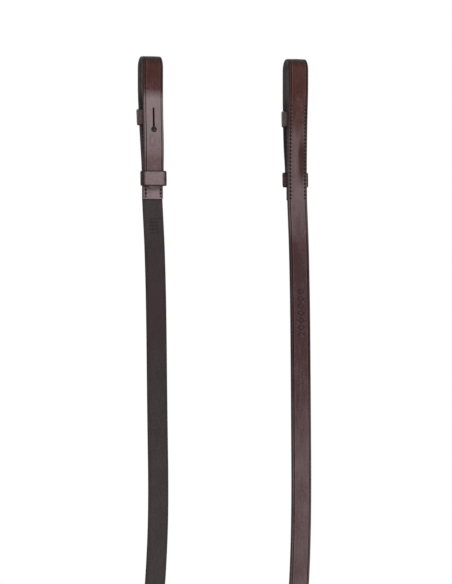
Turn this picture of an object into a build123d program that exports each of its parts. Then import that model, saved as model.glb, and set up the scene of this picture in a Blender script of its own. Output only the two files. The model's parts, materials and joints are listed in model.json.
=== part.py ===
"""A pair of leather riding reins with hook-stud bit ends, buckled together at the middle.

The reins hang from a rail through both bit loops. Each rein's strap is turned back over its
loop as a billet, which lies over the upper keeper and the hook stud and is tucked through the
lower keeper. Below, the two straps run down side by side and the rest of their length is wound
into one round coil, with the middle buckle on top of it.

Frame: millimetres, +Z up, origin on the rail's axis midway between the bit loops, X along the
rail with the right rein at +X. The two bit ends are the same, turned 180 degrees about Z: the
right billet is on the +Y side of its strap and the left one on the -Y side. Bit-end pieces are
modelled on the Y-Z plane with the rein's middle at X = 0, and then placed.
"""

from build123d import *
import math
import os

# Strap
STRAP_WIDTH = 16.0
STRAP_THICKNESS = 3.2
REIN_SPACING = 121.0  # between the middles of the two reins

# Bit loop and billet, as heights on the rein
LOOP_RADIUS = 6.25  # inside the loop
BILLET_TOP = -6.0
BILLET_TIP = -96.6
TIP_CORNER = 6.5
BILLET_BEND_TOP = -62.0
BILLET_BEND_LOW = -80.0
LAYER_GAP = 0.3  # between layers that lie on each other and are not sewn

# Keyhole in the billet
KEYHOLE_RADIUS = 2.3
KEYHOLE_HEIGHT = -49.2
SLIT_WIDTH = 0.9
SLIT_LENGTH = 17.0

# Sewn length
SPREAD_TOP = -18.0  # where the strap starts to close towards the billet
SPREAD_LOW = -80.0
LINING_THICKNESS = 1.8
LINING_TOP = -27.0
SEWN_END = -104.3

# Keepers
KEEPER_THICKNESS = 1.8
KEEPER_TAB = 0.9  # thickness of the ends sewn between the layers
KEEPER_TAB_REACH = 5.0
KEEPER_CORNER = 1.7
SIDE_CLEARANCE = 0.7
FRONT_CLEARANCE = 0.45
UPPER_KEEPER_TOP = -32.7
UPPER_KEEPER_LENGTH = 13.0
LOWER_KEEPER_TOP = -82.0
LOWER_KEEPER_LENGTH = 12.0

# Hook stud
STUD_HEIGHT = -59.0
STUD_NECK_RADIUS = 1.7
STUD_NECK_CLEARANCE = 0.1
STUD_PLATE = (9.0, 12.0, 0.8)
STUD_HOOK = (4.2, 10.0, 1.3)
STUD_HOOK_DROP = 2.2
STUD_HOOK_GAP = 0.85  # from the hook's outer face to the billet

# Stitching
STITCH_INSET = 1.8
THREAD_WIDTH = 0.8
THREAD_DEPTH = 0.35

# Route of a rein's strap below the sewn length, as (y, z) points; it ends where the coil starts
STRAP_ROUTE = [(0.0, SEWN_END), (0.0, -445.7), (-36.8, -489.5)]

# Middle of the reins, on top of the coil. Angles are from the top of the coil towards +Y.
BUCKLE_ZONE = (-105.0, 45.0)
ZONE_CLEARANCE = 1.0  # from the frame's side to the turns beside it
ENTRY_CLEARANCE_ANGLE = 32.0
WIRE_RADIUS = 1.5
WIRE_CORNER = 2.5
BAR_ANGLE = -8.5
BAR_CLEARANCE = 0.1
FAR_BAR_ANGLE = 12.0
FRAME_SIDE_CLEARANCE = 0.5
CHAPE_TURN_THICKNESS = 2.0
CHAPE_JOIN_ANGLE = -24.0
CHAPE_END_ANGLE = -64.0
CHAPE_STITCH_INSET_ANGLE = 2.0
TONGUE_SLOT_WIDTH = 4.0
TONGUE_SLOT_REACH = 9.0
TONGUE_RADIUS = 1.3
TONGUE_EYE_RADIUS = 2.9
TONGUE_BEND = 2.5
TONGUE_OVERHANG = 2.4
POINT_STEP = 10.0  # half the turn between two corners of its route
POINT_RISE_ANGLE = 17.0  # where it starts to climb off the coil
POINT_RISE_SHARE = 1 / 3
POINT_OVER_ANGLE = -3.0  # where it has climbed over the chape
POINT_TIP_ANGLE = -100.0
POINT_HOLE_WIDTH = 3.6
POINT_HOLE_LENGTH = 7.0
POINT_HOLE_ANGLES = (25.0, -3.0, -34.0, -62.0)
FIXED_KEEPER_ANGLES = (-31.0, -21.0)
RUNNING_KEEPER_ANGLES = (-86.0, -76.0)

# Tapes round the coil
TIE_THICKNESS = 0.8
TIE_CLEARANCE = 0.3
TIE_HALF_ANGLE = 8.5
TIE_ANGLES = {"front_coil_tie": -135.0, "rear_coil_tie": 135.0}

# Worked out from the sizes above
HALF_WIDTH = STRAP_WIDTH / 2
STUD_HOOK_FACE = LOOP_RADIUS - STUD_HOOK_GAP
ZONE_HALF_WIDTH = HALF_WIDTH + FRAME_SIDE_CLEARANCE + 2 * WIRE_RADIUS + ZONE_CLEARANCE
FLESH_LINE_LOW = STRAP_THICKNESS / 2  # Y of the strap's flesh side where it hangs straight
BILLET_LOW = FLESH_LINE_LOW + LINING_THICKNESS + LAYER_GAP  # Y of the billet's inner face there
FILLET_SHARE = 0.45
CUT_REACH = 10.0  # how far a cutter runs past what it cuts
SAME_LENGTH = 0.01

ROUTE_RUN = Vector(*STRAP_ROUTE[-1]) - Vector(*STRAP_ROUTE[-2])
ENTRY_ANGLE = 90 - math.degrees(math.atan2(-ROUTE_RUN.X, -ROUTE_RUN.Y))
COIL_RADIUS = -STRAP_ROUTE[-1][0] / math.sin(math.radians(ENTRY_ANGLE))
COIL_AXIS_Z = STRAP_ROUTE[-1][1] - COIL_RADIUS * math.cos(math.radians(ENTRY_ANGLE))
COIL_INNER = COIL_RADIUS - STRAP_THICKNESS / 2
COIL_OUTER = COIL_RADIUS + STRAP_THICKNESS / 2
COIL_END = REIN_SPACING / 2 + HALF_WIDTH
POINT_RADIUS = COIL_RADIUS + STRAP_THICKNESS + LAYER_GAP  # the point end's middle, over the chape
POINT_OUTER = POINT_RADIUS + STRAP_THICKNESS / 2
BAR_RADIAL = COIL_INNER - BAR_CLEARANCE - WIRE_RADIUS


def corner_radii(points):
    """Radius of each corner of a route: 0.45 of the shorter run over the half turn's tangent."""
    radii = []
    for before, corner, after in zip(points, points[1:], points[2:]):
        run_in = Vector(*corner) - Vector(*before)
        run_out = Vector(*after) - Vector(*corner)
        half_turn = math.radians(run_in.get_angle(run_out)) / 2
        radii.append(FILLET_SHARE * min(run_in.length, run_out.length) / math.tan(half_turn))
    return radii


def smooth_edges(points):
    """Straight runs joined by tangent arcs through a list of (y, z) points."""
    return list(FilletPolyline(*points, radius=corner_radii(points)).edges())


def shifted(route, distance):
    """The route moved sideways, to its left for a positive distance."""
    if distance == 0:
        return route
    side = Side.LEFT if distance > 0 else Side.RIGHT
    return route.offset_2d(abs(distance), side=side, closed=False)


def band(route, start, stop, width=STRAP_WIDTH, x=0.0):
    """Solid of one width between two sideways offsets of a route on the Y-Z plane."""
    near, far = shifted(route, start), shifted(route, stop)
    if (near @ 0 - far @ 0).length > (near @ 0 - far @ 1).length:
        ends = [Line(near @ t, far @ (1 - t)).edge() for t in (0, 1)]
    else:
        ends = [Line(near @ t, far @ t).edge() for t in (0, 1)]
    outline = Wire(near.edges() + far.edges() + ends)
    return Pos(x, 0, 0) * extrude(Plane.YZ * Face(outline), amount=width / 2, both=True)


def block(x_limits, y_limits, z_limits):
    """Box between two limits on each axis."""
    (x0, x1), (y0, y1), (z0, z1) = x_limits, y_limits, z_limits
    return Pos((x0 + x1) / 2, (y0 + y1) / 2, (z0 + z1) / 2) * Box(x1 - x0, y1 - y0, z1 - z0)


def coil_point(angle, radius):
    """Point on the Y-Z plane at an angle from the top of the coil and a distance from its axis."""
    turn = math.radians(angle)
    return (radius * math.sin(turn), COIL_AXIS_Z + radius * math.cos(turn))


def coil_sector(inner, outer, angles, x_limits):
    """Part of a ring about the coil's axis, between two angles and two X limits."""
    start, stop = angles
    far = CenterArc((0, COIL_AXIS_Z), outer, 90 - stop, stop - start)
    near = CenterArc((0, COIL_AXIS_Z), inner, 90 - stop, stop - start)
    sides = [Line(near @ 0, far @ 0), Line(near @ 1, far @ 1)]
    face = make_face([far.edge(), near.edge(), sides[0].edge(), sides[1].edge()])
    return Pos(x_limits[0], 0, 0) * extrude(Plane.YZ * face, amount=x_limits[1] - x_limits[0])


def coil_hole(angle, width, length):
    """Radial cutter for a hole through a strap that lies on the coil, longer along the strap."""
    y, z = coil_point(angle, POINT_RADIUS)
    outward = Vector(0, math.sin(math.radians(angle)), math.cos(math.radians(angle)))
    plane = Plane(origin=(0, y, z), x_dir=(1, 0, 0), z_dir=outward)
    shape = Circle(width / 2) if length <= width else SlotOverall(length, width, rotation=90)
    return extrude(plane * shape, amount=CUT_REACH, both=True)


# Bit ends


def spread_points():
    """Corners of the strap's flesh side from the bit loop down to the end of the sewn length."""
    return [
        (-LOOP_RADIUS, 0.0),
        (-LOOP_RADIUS, SPREAD_TOP),
        (FLESH_LINE_LOW, SPREAD_LOW),
        (FLESH_LINE_LOW, SEWN_END),
    ]


def flesh_line():
    """Flesh side of the strap from the billet's top, over the bit loop, to the sewn end."""
    rise = Line((LOOP_RADIUS, BILLET_TOP), (LOOP_RADIUS, 0)).edge()
    loop = CenterArc((0, 0), LOOP_RADIUS, 0, 180).edge()
    return Wire([rise, loop] + smooth_edges(spread_points()))


def sewn_layer(start, stop, width=STRAP_WIDTH, x=0.0, top=LINING_TOP, low=SEWN_END):
    """Layer along the sewn length between two distances from the flesh side, cut to heights."""
    layer = band(Wire(smooth_edges(spread_points())), start, stop, width, x)
    reach = 4 * STRAP_WIDTH
    return layer & block((-reach, reach), (-reach, reach), (low, top))


def thread_row(face, inward, x):
    """One row of thread, sunk flush in the face at a distance from the flesh side."""
    return sewn_layer(face, face + inward * THREAD_DEPTH, THREAD_WIDTH, x)


def bit_stitching():
    """The two rows of thread through the strap and its lining, on both faces."""
    rows = []
    for x in (STITCH_INSET - HALF_WIDTH, HALF_WIDTH - STITCH_INSET):
        rows.append(thread_row(-STRAP_THICKNESS, 1, x))
        rows.append(thread_row(LINING_THICKNESS, -1, x))
    return rows


def bit_end(stitching):
    """The strap over the bit loop and down the sewn length, with grooves for its thread."""
    strap = band(flesh_line(), 0, -STRAP_THICKNESS)
    for row in stitching:
        strap -= row
    return strap


def billet():
    """The turned-back strap end, with its keyhole and rounded tip, just below the bit loop."""
    points = [
        (LOOP_RADIUS, BILLET_TOP - LAYER_GAP),
        (LOOP_RADIUS, BILLET_BEND_TOP),
        (BILLET_LOW, BILLET_BEND_LOW),
        (BILLET_LOW, BILLET_TIP),
    ]
    strap = band(Wire(smooth_edges(points)), 0, STRAP_THICKNESS)
    tip_edges = strap.edges().filter_by(Axis.Y).sort_by(Axis.Z)[:2]
    strap = fillet(tip_edges, TIP_CORNER)
    through = Plane.XZ.offset(-LOOP_RADIUS - STRAP_THICKNESS)
    hole = Pos(0, KEYHOLE_HEIGHT) * Circle(KEYHOLE_RADIUS)
    slit = Pos(0, KEYHOLE_HEIGHT + SLIT_LENGTH / 2) * Rectangle(SLIT_WIDTH, SLIT_LENGTH)
    return strap - extrude(through * (hole + slit), amount=CUT_REACH, both=True)


def keeper_ends(top, length):
    """The thin ends of a keeper, which are sewn between the strap and its lining."""
    inner = HALF_WIDTH - KEEPER_TAB_REACH
    outer = HALF_WIDTH + SIDE_CLEARANCE + KEEPER_THICKNESS / 2
    middle, width = (inner + outer) / 2, outer - inner
    return [sewn_layer(0, KEEPER_TAB, width, x, top, top - length) for x in (-middle, middle)]


def bit_keeper(front, top, length):
    """Leather band whose front reaches the given Y, over the sewn length between two heights."""
    half = HALF_WIDTH + SIDE_CLEARANCE
    ends = keeper_ends(top, length)
    back = min(end.bounding_box().min.Y for end in ends)
    heights = (top - length, top)
    outline = block((-half - KEEPER_THICKNESS, half + KEEPER_THICKNESS), (back, front), heights)
    corners = outline.edges().filter_by(Axis.Z).sort_by(Axis.Y)[-2:]
    outline = fillet(corners, KEEPER_CORNER)
    hollow = block((-half, half), (back - CUT_REACH, front - KEEPER_THICKNESS), heights)
    return outline - hollow + ends[0] + ends[1]


def stud_plate():
    """The stud's plate, held between the strap and its lining."""
    width, length, thickness = STUD_PLATE
    top = STUD_HEIGHT + length / 2
    return sewn_layer(0, thickness, width, 0, top, top - length)


def stud_neck(extra=0.0):
    """The stud's neck from the plate to inside the hook, with an extra radius for its hole."""
    closed = (SPREAD_TOP - STUD_HEIGHT) / (SPREAD_TOP - SPREAD_LOW)
    start = -LOOP_RADIUS + closed * (FLESH_LINE_LOW + LOOP_RADIUS) + STUD_PLATE[2] / 2
    stop = STUD_HOOK_FACE - STUD_HOOK[2] / 2
    plane = Plane.XZ.offset(-start) * Pos(0, STUD_HEIGHT)
    return extrude(plane * Circle(STUD_NECK_RADIUS + extra), amount=start - stop)


def hook_stud():
    """Plate, neck and the flat hook that points down the rein, in one piece."""
    width, length, thickness = STUD_HOOK
    face = Plane.XZ.offset(-STUD_HOOK_FACE) * Pos(0, STUD_HEIGHT - STUD_HOOK_DROP)
    hook = extrude(face * SlotOverall(length, width, rotation=90), amount=thickness)
    return stud_plate() + stud_neck() + hook


def lining(stitching, fittings):
    """The strip sewn behind the strap, with room for the fittings held under it."""
    strip = sewn_layer(0, LINING_THICKNESS)
    for piece in stitching + fittings:
        strip -= piece
    return strip - stud_neck(STUD_NECK_CLEARANCE)


def rein_strap():
    """The strap from the sewn end down to the start of the coil."""
    route = Wire(smooth_edges(STRAP_ROUTE))
    return band(route, -STRAP_THICKNESS / 2, STRAP_THICKNESS / 2)


def bit_end_parts():
    """Every piece of one bit end, by name, with the rein's middle at X = 0."""
    stitching = bit_stitching()
    upper_front = LOOP_RADIUS - LAYER_GAP
    lower_front = BILLET_LOW + STRAP_THICKNESS + FRONT_CLEARANCE + KEEPER_THICKNESS
    held = keeper_ends(UPPER_KEEPER_TOP, UPPER_KEEPER_LENGTH)
    held += keeper_ends(LOWER_KEEPER_TOP, LOWER_KEEPER_LENGTH) + [stud_plate()]
    return {
        "bit_end": bit_end(stitching),
        "billet": billet(),
        "lining": lining(stitching, held),
        "upper_keeper": bit_keeper(upper_front, UPPER_KEEPER_TOP, UPPER_KEEPER_LENGTH),
        "lower_keeper": bit_keeper(lower_front, LOWER_KEEPER_TOP, LOWER_KEEPER_LENGTH),
        "hook_stud": hook_stud(),
        "bit_stitching": Compound(children=stitching),
        "rein_strap": rein_strap(),
    }


# Coil


def coil_turns(side):
    """Outer shape of one rein's turns: open where its strap comes in and at the buckle."""
    centre = Plane.YZ * Pos(0, COIL_AXIS_Z)
    ring = centre * (Circle(COIL_OUTER) - Circle(COIL_INNER))
    turns = extrude(ring, amount=side * COIL_END)
    lane = sorted((side * (COIL_END - STRAP_WIDTH - LAYER_GAP), side * (COIL_END + STRAP_WIDTH)))
    entry = sorted((-side * ENTRY_ANGLE, -side * (ENTRY_ANGLE - ENTRY_CLEARANCE_ANGLE)))
    cut_in, cut_out = COIL_INNER - STRAP_THICKNESS, COIL_OUTER + STRAP_THICKNESS
    turns -= coil_sector(cut_in, cut_out, entry, lane)
    return turns - coil_sector(cut_in, cut_out, BUCKLE_ZONE, (-ZONE_HALF_WIDTH, ZONE_HALF_WIDTH))


def coil_tie(middle):
    """Tape round all the turns at one place of the coil."""
    angles = (middle - TIE_HALF_ANGLE, middle + TIE_HALF_ANGLE)
    gap, thick = TIE_CLEARANCE, TIE_THICKNESS
    end = COIL_END + gap
    outside = (-end - thick, end + thick)
    tape = coil_sector(COIL_INNER - gap - thick, COIL_OUTER + gap + thick, angles, outside)
    return tape - coil_sector(COIL_INNER - gap, COIL_OUTER + gap, angles, (-end, end))


# Middle buckle


def buckle_bar():
    """Axis of the bar that the chape and the tongue turn on, as a point on the Y-Z plane."""
    return coil_point(BAR_ANGLE, BAR_RADIAL)


def far_bar():
    """Middle of the frame's other bar, which lies over the point end."""
    over = point_route().bounding_box()
    outward = Vector(*coil_point(FAR_BAR_ANGLE, 1)) - Vector(0, COIL_AXIS_Z)
    ray = Edge.make_line(Vector(0, COIL_AXIS_Z), Vector(0, COIL_AXIS_Z) + outward * over.size.X)
    crossing = (ray.intersect(point_route()) or [])[0]
    strap_middle = (Vector(*crossing.center()) - Vector(0, COIL_AXIS_Z)).length
    return coil_point(FAR_BAR_ANGLE, strap_middle + STRAP_THICKNESS / 2 + LAYER_GAP + WIRE_RADIUS)


def point_route():
    """Middle of the point end: up from the coil, through the buckle and down over the chape."""
    start = BUCKLE_ZONE[1]
    low = COIL_RADIUS / math.cos(math.radians(POINT_STEP))
    high = POINT_RADIUS / math.cos(math.radians(POINT_STEP))
    rise = low + POINT_RISE_SHARE * (high - low)
    points = [coil_point(start, COIL_RADIUS), coil_point(start - POINT_STEP, low)]
    points.append(coil_point(POINT_RISE_ANGLE, rise))
    angle = POINT_OVER_ANGLE
    while angle > POINT_TIP_ANGLE + POINT_STEP:
        points.append(coil_point(angle, high))
        angle -= 2 * POINT_STEP
    points.append(coil_point(POINT_TIP_ANGLE, POINT_RADIUS))
    return Wire(smooth_edges(points))


def point_end():
    """The right rein's pointed end with its row of holes."""
    strap = band(point_route(), -STRAP_THICKNESS / 2, STRAP_THICKNESS / 2)
    straight = strap.edges().filter_by(GeomType.LINE).sort_by(Axis.Z)
    across = [e for e in straight if abs(e.length - STRAP_THICKNESS) < SAME_LENGTH]
    strap = fillet(across[:2], TIP_CORNER)
    for angle in POINT_HOLE_ANGLES:
        strap -= coil_hole(angle, POINT_HOLE_WIDTH, POINT_HOLE_LENGTH)
    return strap


def chape_turn(angles):
    """The chape's inner layer, which lies under the strap between two angles."""
    inner = COIL_INNER - CHAPE_TURN_THICKNESS
    return coil_sector(inner, COIL_INNER, angles, (-HALF_WIDTH, HALF_WIDTH))


def chape_stitching():
    """The two rows of thread through the chape, on its inner face."""
    inner = COIL_INNER - CHAPE_TURN_THICKNESS
    rows = []
    for x in (STITCH_INSET - HALF_WIDTH, HALF_WIDTH - STITCH_INSET):
        limits = (x - THREAD_WIDTH / 2, x + THREAD_WIDTH / 2)
        inset = CHAPE_STITCH_INSET_ANGLE
        angles = (CHAPE_END_ANGLE + inset, CHAPE_JOIN_ANGLE - inset)
        rows.append(coil_sector(inner, inner + THREAD_DEPTH, angles, limits))
    return rows


def middle_keeper_ends():
    """The thin ends of the fixed keeper, which are sewn between the chape's two layers."""
    inner = HALF_WIDTH - KEEPER_TAB_REACH
    outer = HALF_WIDTH + SIDE_CLEARANCE + KEEPER_THICKNESS / 2
    low = COIL_INNER - KEEPER_TAB
    sides = ((-outer, -inner), (inner, outer))
    return [coil_sector(low, COIL_INNER, FIXED_KEEPER_ANGLES, side) for side in sides]


def buckle_chape():
    """The left rein's end, turned round the buckle's bar and sewn back under itself."""
    limits = (-HALF_WIDTH, HALF_WIDTH)
    strap = coil_sector(COIL_INNER, COIL_OUTER, (BUCKLE_ZONE[0], BAR_ANGLE), limits)
    bore = WIRE_RADIUS + BAR_CLEARANCE
    turn_inner = BAR_RADIAL - bore - CHAPE_TURN_THICKNESS
    fold_radius = (COIL_OUTER - turn_inner) / 2
    fold = Pos(*coil_point(BAR_ANGLE, turn_inner + fold_radius)) * Circle(fold_radius)
    behind = Polygon(
        coil_point(BAR_ANGLE, turn_inner),
        coil_point(BAR_ANGLE, turn_inner + CHAPE_TURN_THICKNESS),
        coil_point(CHAPE_JOIN_ANGLE, COIL_INNER),
        coil_point(CHAPE_JOIN_ANGLE, COIL_INNER - CHAPE_TURN_THICKNESS),
        align=None,
    )
    hole = Pos(*buckle_bar()) * Circle(bore)
    half_turn = extrude(Plane.YZ * fold, amount=HALF_WIDTH, both=True)
    cut_in, cut_out = turn_inner - CUT_REACH, COIL_OUTER + CUT_REACH
    half_turn -= coil_sector(cut_in, cut_out, (BAR_ANGLE - 90, BAR_ANGLE), limits)
    strap += half_turn + extrude(Plane.YZ * behind, amount=HALF_WIDTH, both=True)
    strap += chape_turn((CHAPE_END_ANGLE, CHAPE_JOIN_ANGLE))
    strap -= extrude(Plane.YZ * hole, amount=STRAP_WIDTH, both=True)
    bar_y, bar_z = buckle_bar()
    slot = (-TONGUE_SLOT_WIDTH / 2, TONGUE_SLOT_WIDTH / 2)
    low = bar_z - bore - CHAPE_TURN_THICKNESS - LAYER_GAP
    slot_y = (bar_y - TONGUE_SLOT_REACH, bar_y + TONGUE_SLOT_REACH)
    strap -= block(slot, slot_y, (low, bar_z + TONGUE_SLOT_REACH))
    for piece in chape_stitching() + middle_keeper_ends():
        strap -= piece
    return strap


def buckle_frame():
    """Round wire frame from the bar inside the chape to the bar over the point end."""
    bar, far = Vector(0, *buckle_bar()), Vector(0, *far_bar())
    along = (far - bar).normalized()
    plane = Plane(origin=(bar + far) / 2, x_dir=along, z_dir=Vector(1, 0, 0).cross(along))
    half_length = (far - bar).length / 2
    half_width = HALF_WIDTH + FRAME_SIDE_CLEARANCE + WIRE_RADIUS
    middle = Wire(RectangleRounded(2 * half_length, 2 * half_width, WIRE_CORNER).edges())
    path = plane * middle
    start = Plane(origin=path @ 0, z_dir=path % 0)
    return sweep(start * Circle(WIRE_RADIUS), path=path)


def buckle_tongue():
    """Round tongue that turns on the bar, comes up through the point end and lies on the frame."""
    bar, far = Vector(*buckle_bar()), Vector(*far_bar())
    rise = far.Y + WIRE_RADIUS + BAR_CLEARANCE + TONGUE_RADIUS
    over_point = COIL_AXIS_Z + POINT_OUTER + LAYER_GAP + TONGUE_RADIUS
    knee = Vector(-TONGUE_RADIUS, max(rise, over_point))
    eye_start = bar + (knee - bar).normalized() * (TONGUE_EYE_RADIUS + WIRE_RADIUS) / 2
    tip = Vector(far.X + TONGUE_OVERHANG, max(rise, over_point))
    corners = [(point.X, point.Y) for point in (eye_start, knee, tip)]
    path = Plane.YZ * FilletPolyline(*corners, radius=TONGUE_BEND)
    start = Plane(origin=path @ 0, z_dir=path % 0)
    arm = sweep(start * Circle(TONGUE_RADIUS), path=path) + Pos(*(path @ 1)) * Sphere(TONGUE_RADIUS)
    eye = Pos(*buckle_bar()) * Circle(TONGUE_EYE_RADIUS)
    bore = Pos(*buckle_bar()) * Circle(WIRE_RADIUS + BAR_CLEARANCE)
    tongue = arm + extrude(Plane.YZ * eye, amount=TONGUE_RADIUS, both=True)
    return tongue - extrude(Plane.YZ * bore, amount=STRAP_WIDTH, both=True)


def fixed_keeper():
    """Leather band over the point end, with its ends between the chape's layers."""
    half = HALF_WIDTH + SIDE_CLEARANCE
    outside = (-half - KEEPER_THICKNESS, half + KEEPER_THICKNESS)
    front = POINT_OUTER + FRONT_CLEARANCE
    low = COIL_INNER - KEEPER_TAB
    keeper = coil_sector(low, front + KEEPER_THICKNESS, FIXED_KEEPER_ANGLES, outside)
    keeper -= coil_sector(low - CUT_REACH, front, FIXED_KEEPER_ANGLES, (-half, half))
    for end in middle_keeper_ends():
        keeper += end
    return keeper


def running_keeper():
    """Leather band that slides round the strap and the point end."""
    half = HALF_WIDTH + SIDE_CLEARANCE
    outside = (-half - KEEPER_THICKNESS, half + KEEPER_THICKNESS)
    low, front = COIL_INNER - FRONT_CLEARANCE, POINT_OUTER + FRONT_CLEARANCE
    angles = RUNNING_KEEPER_ANGLES
    keeper = coil_sector(low - KEEPER_THICKNESS, front + KEEPER_THICKNESS, angles, outside)
    return keeper - coil_sector(low, front, angles, (-half, half))


def all_parts():
    """Every node of the reins by name, in the reins' own frame."""
    parts = {}
    for name, shape in bit_end_parts().items():
        parts["right_" + name] = Pos(REIN_SPACING / 2, 0, 0) * shape
        parts["left_" + name] = Rot(0, 0, 180) * Pos(REIN_SPACING / 2, 0, 0) * shape
    parts["right_rein_coil"] = coil_turns(1)
    parts["left_rein_coil"] = coil_turns(-1)
    for name, angle in TIE_ANGLES.items():
        parts[name] = coil_tie(angle)
    parts["buckle_chape"] = buckle_chape()
    parts["chape_stitching"] = Compound(children=chape_stitching())
    parts["point_end"] = point_end()
    parts["buckle_frame"] = buckle_frame()
    parts["buckle_tongue"] = buckle_tongue()
    parts["fixed_keeper"] = fixed_keeper()
    parts["running_keeper"] = running_keeper()
    return parts


def main():
    """Print the sizes that joints and mounts use, and write one STEP file for each node."""
    os.makedirs("parts", exist_ok=True)
    print("strap radii", [round(r, 1) for r in corner_radii(STRAP_ROUTE)])
    print("coil radius", round(COIL_RADIUS, 3), "axis z", round(COIL_AXIS_Z, 3))
    print("coil entry angle", round(ENTRY_ANGLE, 3))
    print("buckle bar", buckle_bar(), "far bar", far_bar())
    for name, shape in all_parts().items():
        export_step(shape, f"parts/{name}.step")


main()
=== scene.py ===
"""A pair of leather riding reins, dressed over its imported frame.

Each rein hangs by its bit loop. The turned-back billet lies over the hook stud and its tip is
tucked through the lower keeper. The spare length of both straps is wound into one coil, tied
with two tapes, and the middle buckle lies on top of it.
"""

import json
import logging
import math
from dataclasses import dataclass, field, replace
from enum import Enum

import bmesh
import bpy
from mathutils import Matrix, Vector, noise
from mathutils.bvhtree import BVHTree
from mathutils.interpolate import poly_3d_calc

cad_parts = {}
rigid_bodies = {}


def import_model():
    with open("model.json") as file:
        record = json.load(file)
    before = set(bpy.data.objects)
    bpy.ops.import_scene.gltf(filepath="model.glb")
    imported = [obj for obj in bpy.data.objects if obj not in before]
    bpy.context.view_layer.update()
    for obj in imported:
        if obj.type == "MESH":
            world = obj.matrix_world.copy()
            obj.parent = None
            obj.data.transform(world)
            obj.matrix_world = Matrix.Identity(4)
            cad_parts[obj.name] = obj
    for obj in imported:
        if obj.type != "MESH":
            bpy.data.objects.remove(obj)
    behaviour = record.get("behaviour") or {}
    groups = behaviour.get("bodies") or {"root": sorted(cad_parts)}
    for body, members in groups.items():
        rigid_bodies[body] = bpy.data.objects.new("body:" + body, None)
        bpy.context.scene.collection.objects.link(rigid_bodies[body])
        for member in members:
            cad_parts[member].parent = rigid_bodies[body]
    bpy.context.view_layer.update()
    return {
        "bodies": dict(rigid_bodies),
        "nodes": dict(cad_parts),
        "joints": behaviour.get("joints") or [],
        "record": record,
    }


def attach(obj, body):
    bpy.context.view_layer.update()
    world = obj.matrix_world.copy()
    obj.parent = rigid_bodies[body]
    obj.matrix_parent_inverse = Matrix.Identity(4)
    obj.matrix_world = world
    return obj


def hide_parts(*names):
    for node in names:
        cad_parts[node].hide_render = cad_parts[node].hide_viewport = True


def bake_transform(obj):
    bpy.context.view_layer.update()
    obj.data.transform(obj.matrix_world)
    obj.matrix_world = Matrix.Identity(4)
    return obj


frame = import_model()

MM = 0.001
LAY = "lay"
LOG = logging.getLogger("reins")
REIN_SPACING = 121 * MM
SEWN_END = -104.3 * MM
LEAN = 1.5 * MM
Colour = tuple[float, float, float]
Stops = tuple[tuple[float, float], ...]


class Side(Enum):
    """Which rein of the pair."""

    RIGHT = "right"
    LEFT = "left"

    @property
    def place(self) -> Matrix:
        """Move from a bit end's own frame to the pair's frame."""
        out = Matrix.Translation((REIN_SPACING / 2, 0, 0))
        return out if self is Side.RIGHT else Matrix.Rotation(math.pi, 4, "Z") @ out


class Layer(Enum):
    """Slots of a strap's mesh: its outside and its inside."""

    GRAIN = 0
    FLESH = 1


@dataclass(frozen=True)
class Section:
    """Cross-section of a strap, with rolled edges and a crease along each edge.

    Sizes are in metres. The grain side is at positive depth.
    """

    width: float = 16.4 * MM
    thickness: float = 3.2 * MM
    crease_inset: float = 1.9 * MM
    crease_depth: float = 0.34 * MM
    crown: float = 0.12 * MM

    def outline(self) -> list[Vector]:
        """Corners of the section, once round.

        Returns:
            Points with across in x and depth in y.
        """
        half, deep = self.width / 2, self.thickness / 2
        crease = half - self.crease_inset
        grain = [
            (0.0, deep + self.crown),
            (0.55 * crease, deep + 0.8 * self.crown),
            (crease - 0.75 * MM, deep + 0.3 * self.crown),
            (crease - 0.28 * MM, deep + 0.06 * MM),
            (crease, deep - self.crease_depth),
            (crease + 0.3 * MM, deep - 0.04 * MM),
            (half - 0.85 * MM, deep - 0.06 * MM),
            (half - 0.3 * MM, deep - 0.16 * self.thickness * 0.5),
            (half - 0.04 * MM, 0.5 * deep),
        ]
        flesh = [
            (half, -0.1 * deep),
            (half - 0.06 * MM, -0.7 * deep),
            (half - 0.25 * MM, -0.95 * deep),
            (half - 0.9 * MM, -deep),
            (0.5 * half, -deep),
            (0.0, -deep),
        ]
        side = grain + flesh
        other = [(-x, y) for x, y in reversed(side[1:-1])]
        return [Vector((x, y, 0)) for x, y in side + other]


@dataclass(frozen=True)
class BandSection:
    """Cross-section of a plain band such as a keeper or a tape, in metres."""

    width: float
    thickness: float
    round_off: float = 0.42 * MM

    def outline(self) -> list[Vector]:
        """Corners of the section, once round.

        Returns:
            Points with across in x and depth in y.
        """
        half, deep, cut = self.width / 2, self.thickness / 2, self.round_off
        side = [
            (0.0, deep),
            (half - 3.2 * cut, deep),
            (half - 1.6 * cut, deep - 0.35 * cut),
            (half - 0.3 * cut, deep - cut),
            (half, 0.0),
            (half - 0.3 * cut, cut - deep),
            (half - 1.6 * cut, 0.35 * cut - deep),
            (0.0, -deep),
        ]
        other = [(-x, y) for x, y in reversed(side[1:-1])]
        return [Vector((x, y, 0)) for x, y in side + other]


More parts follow.
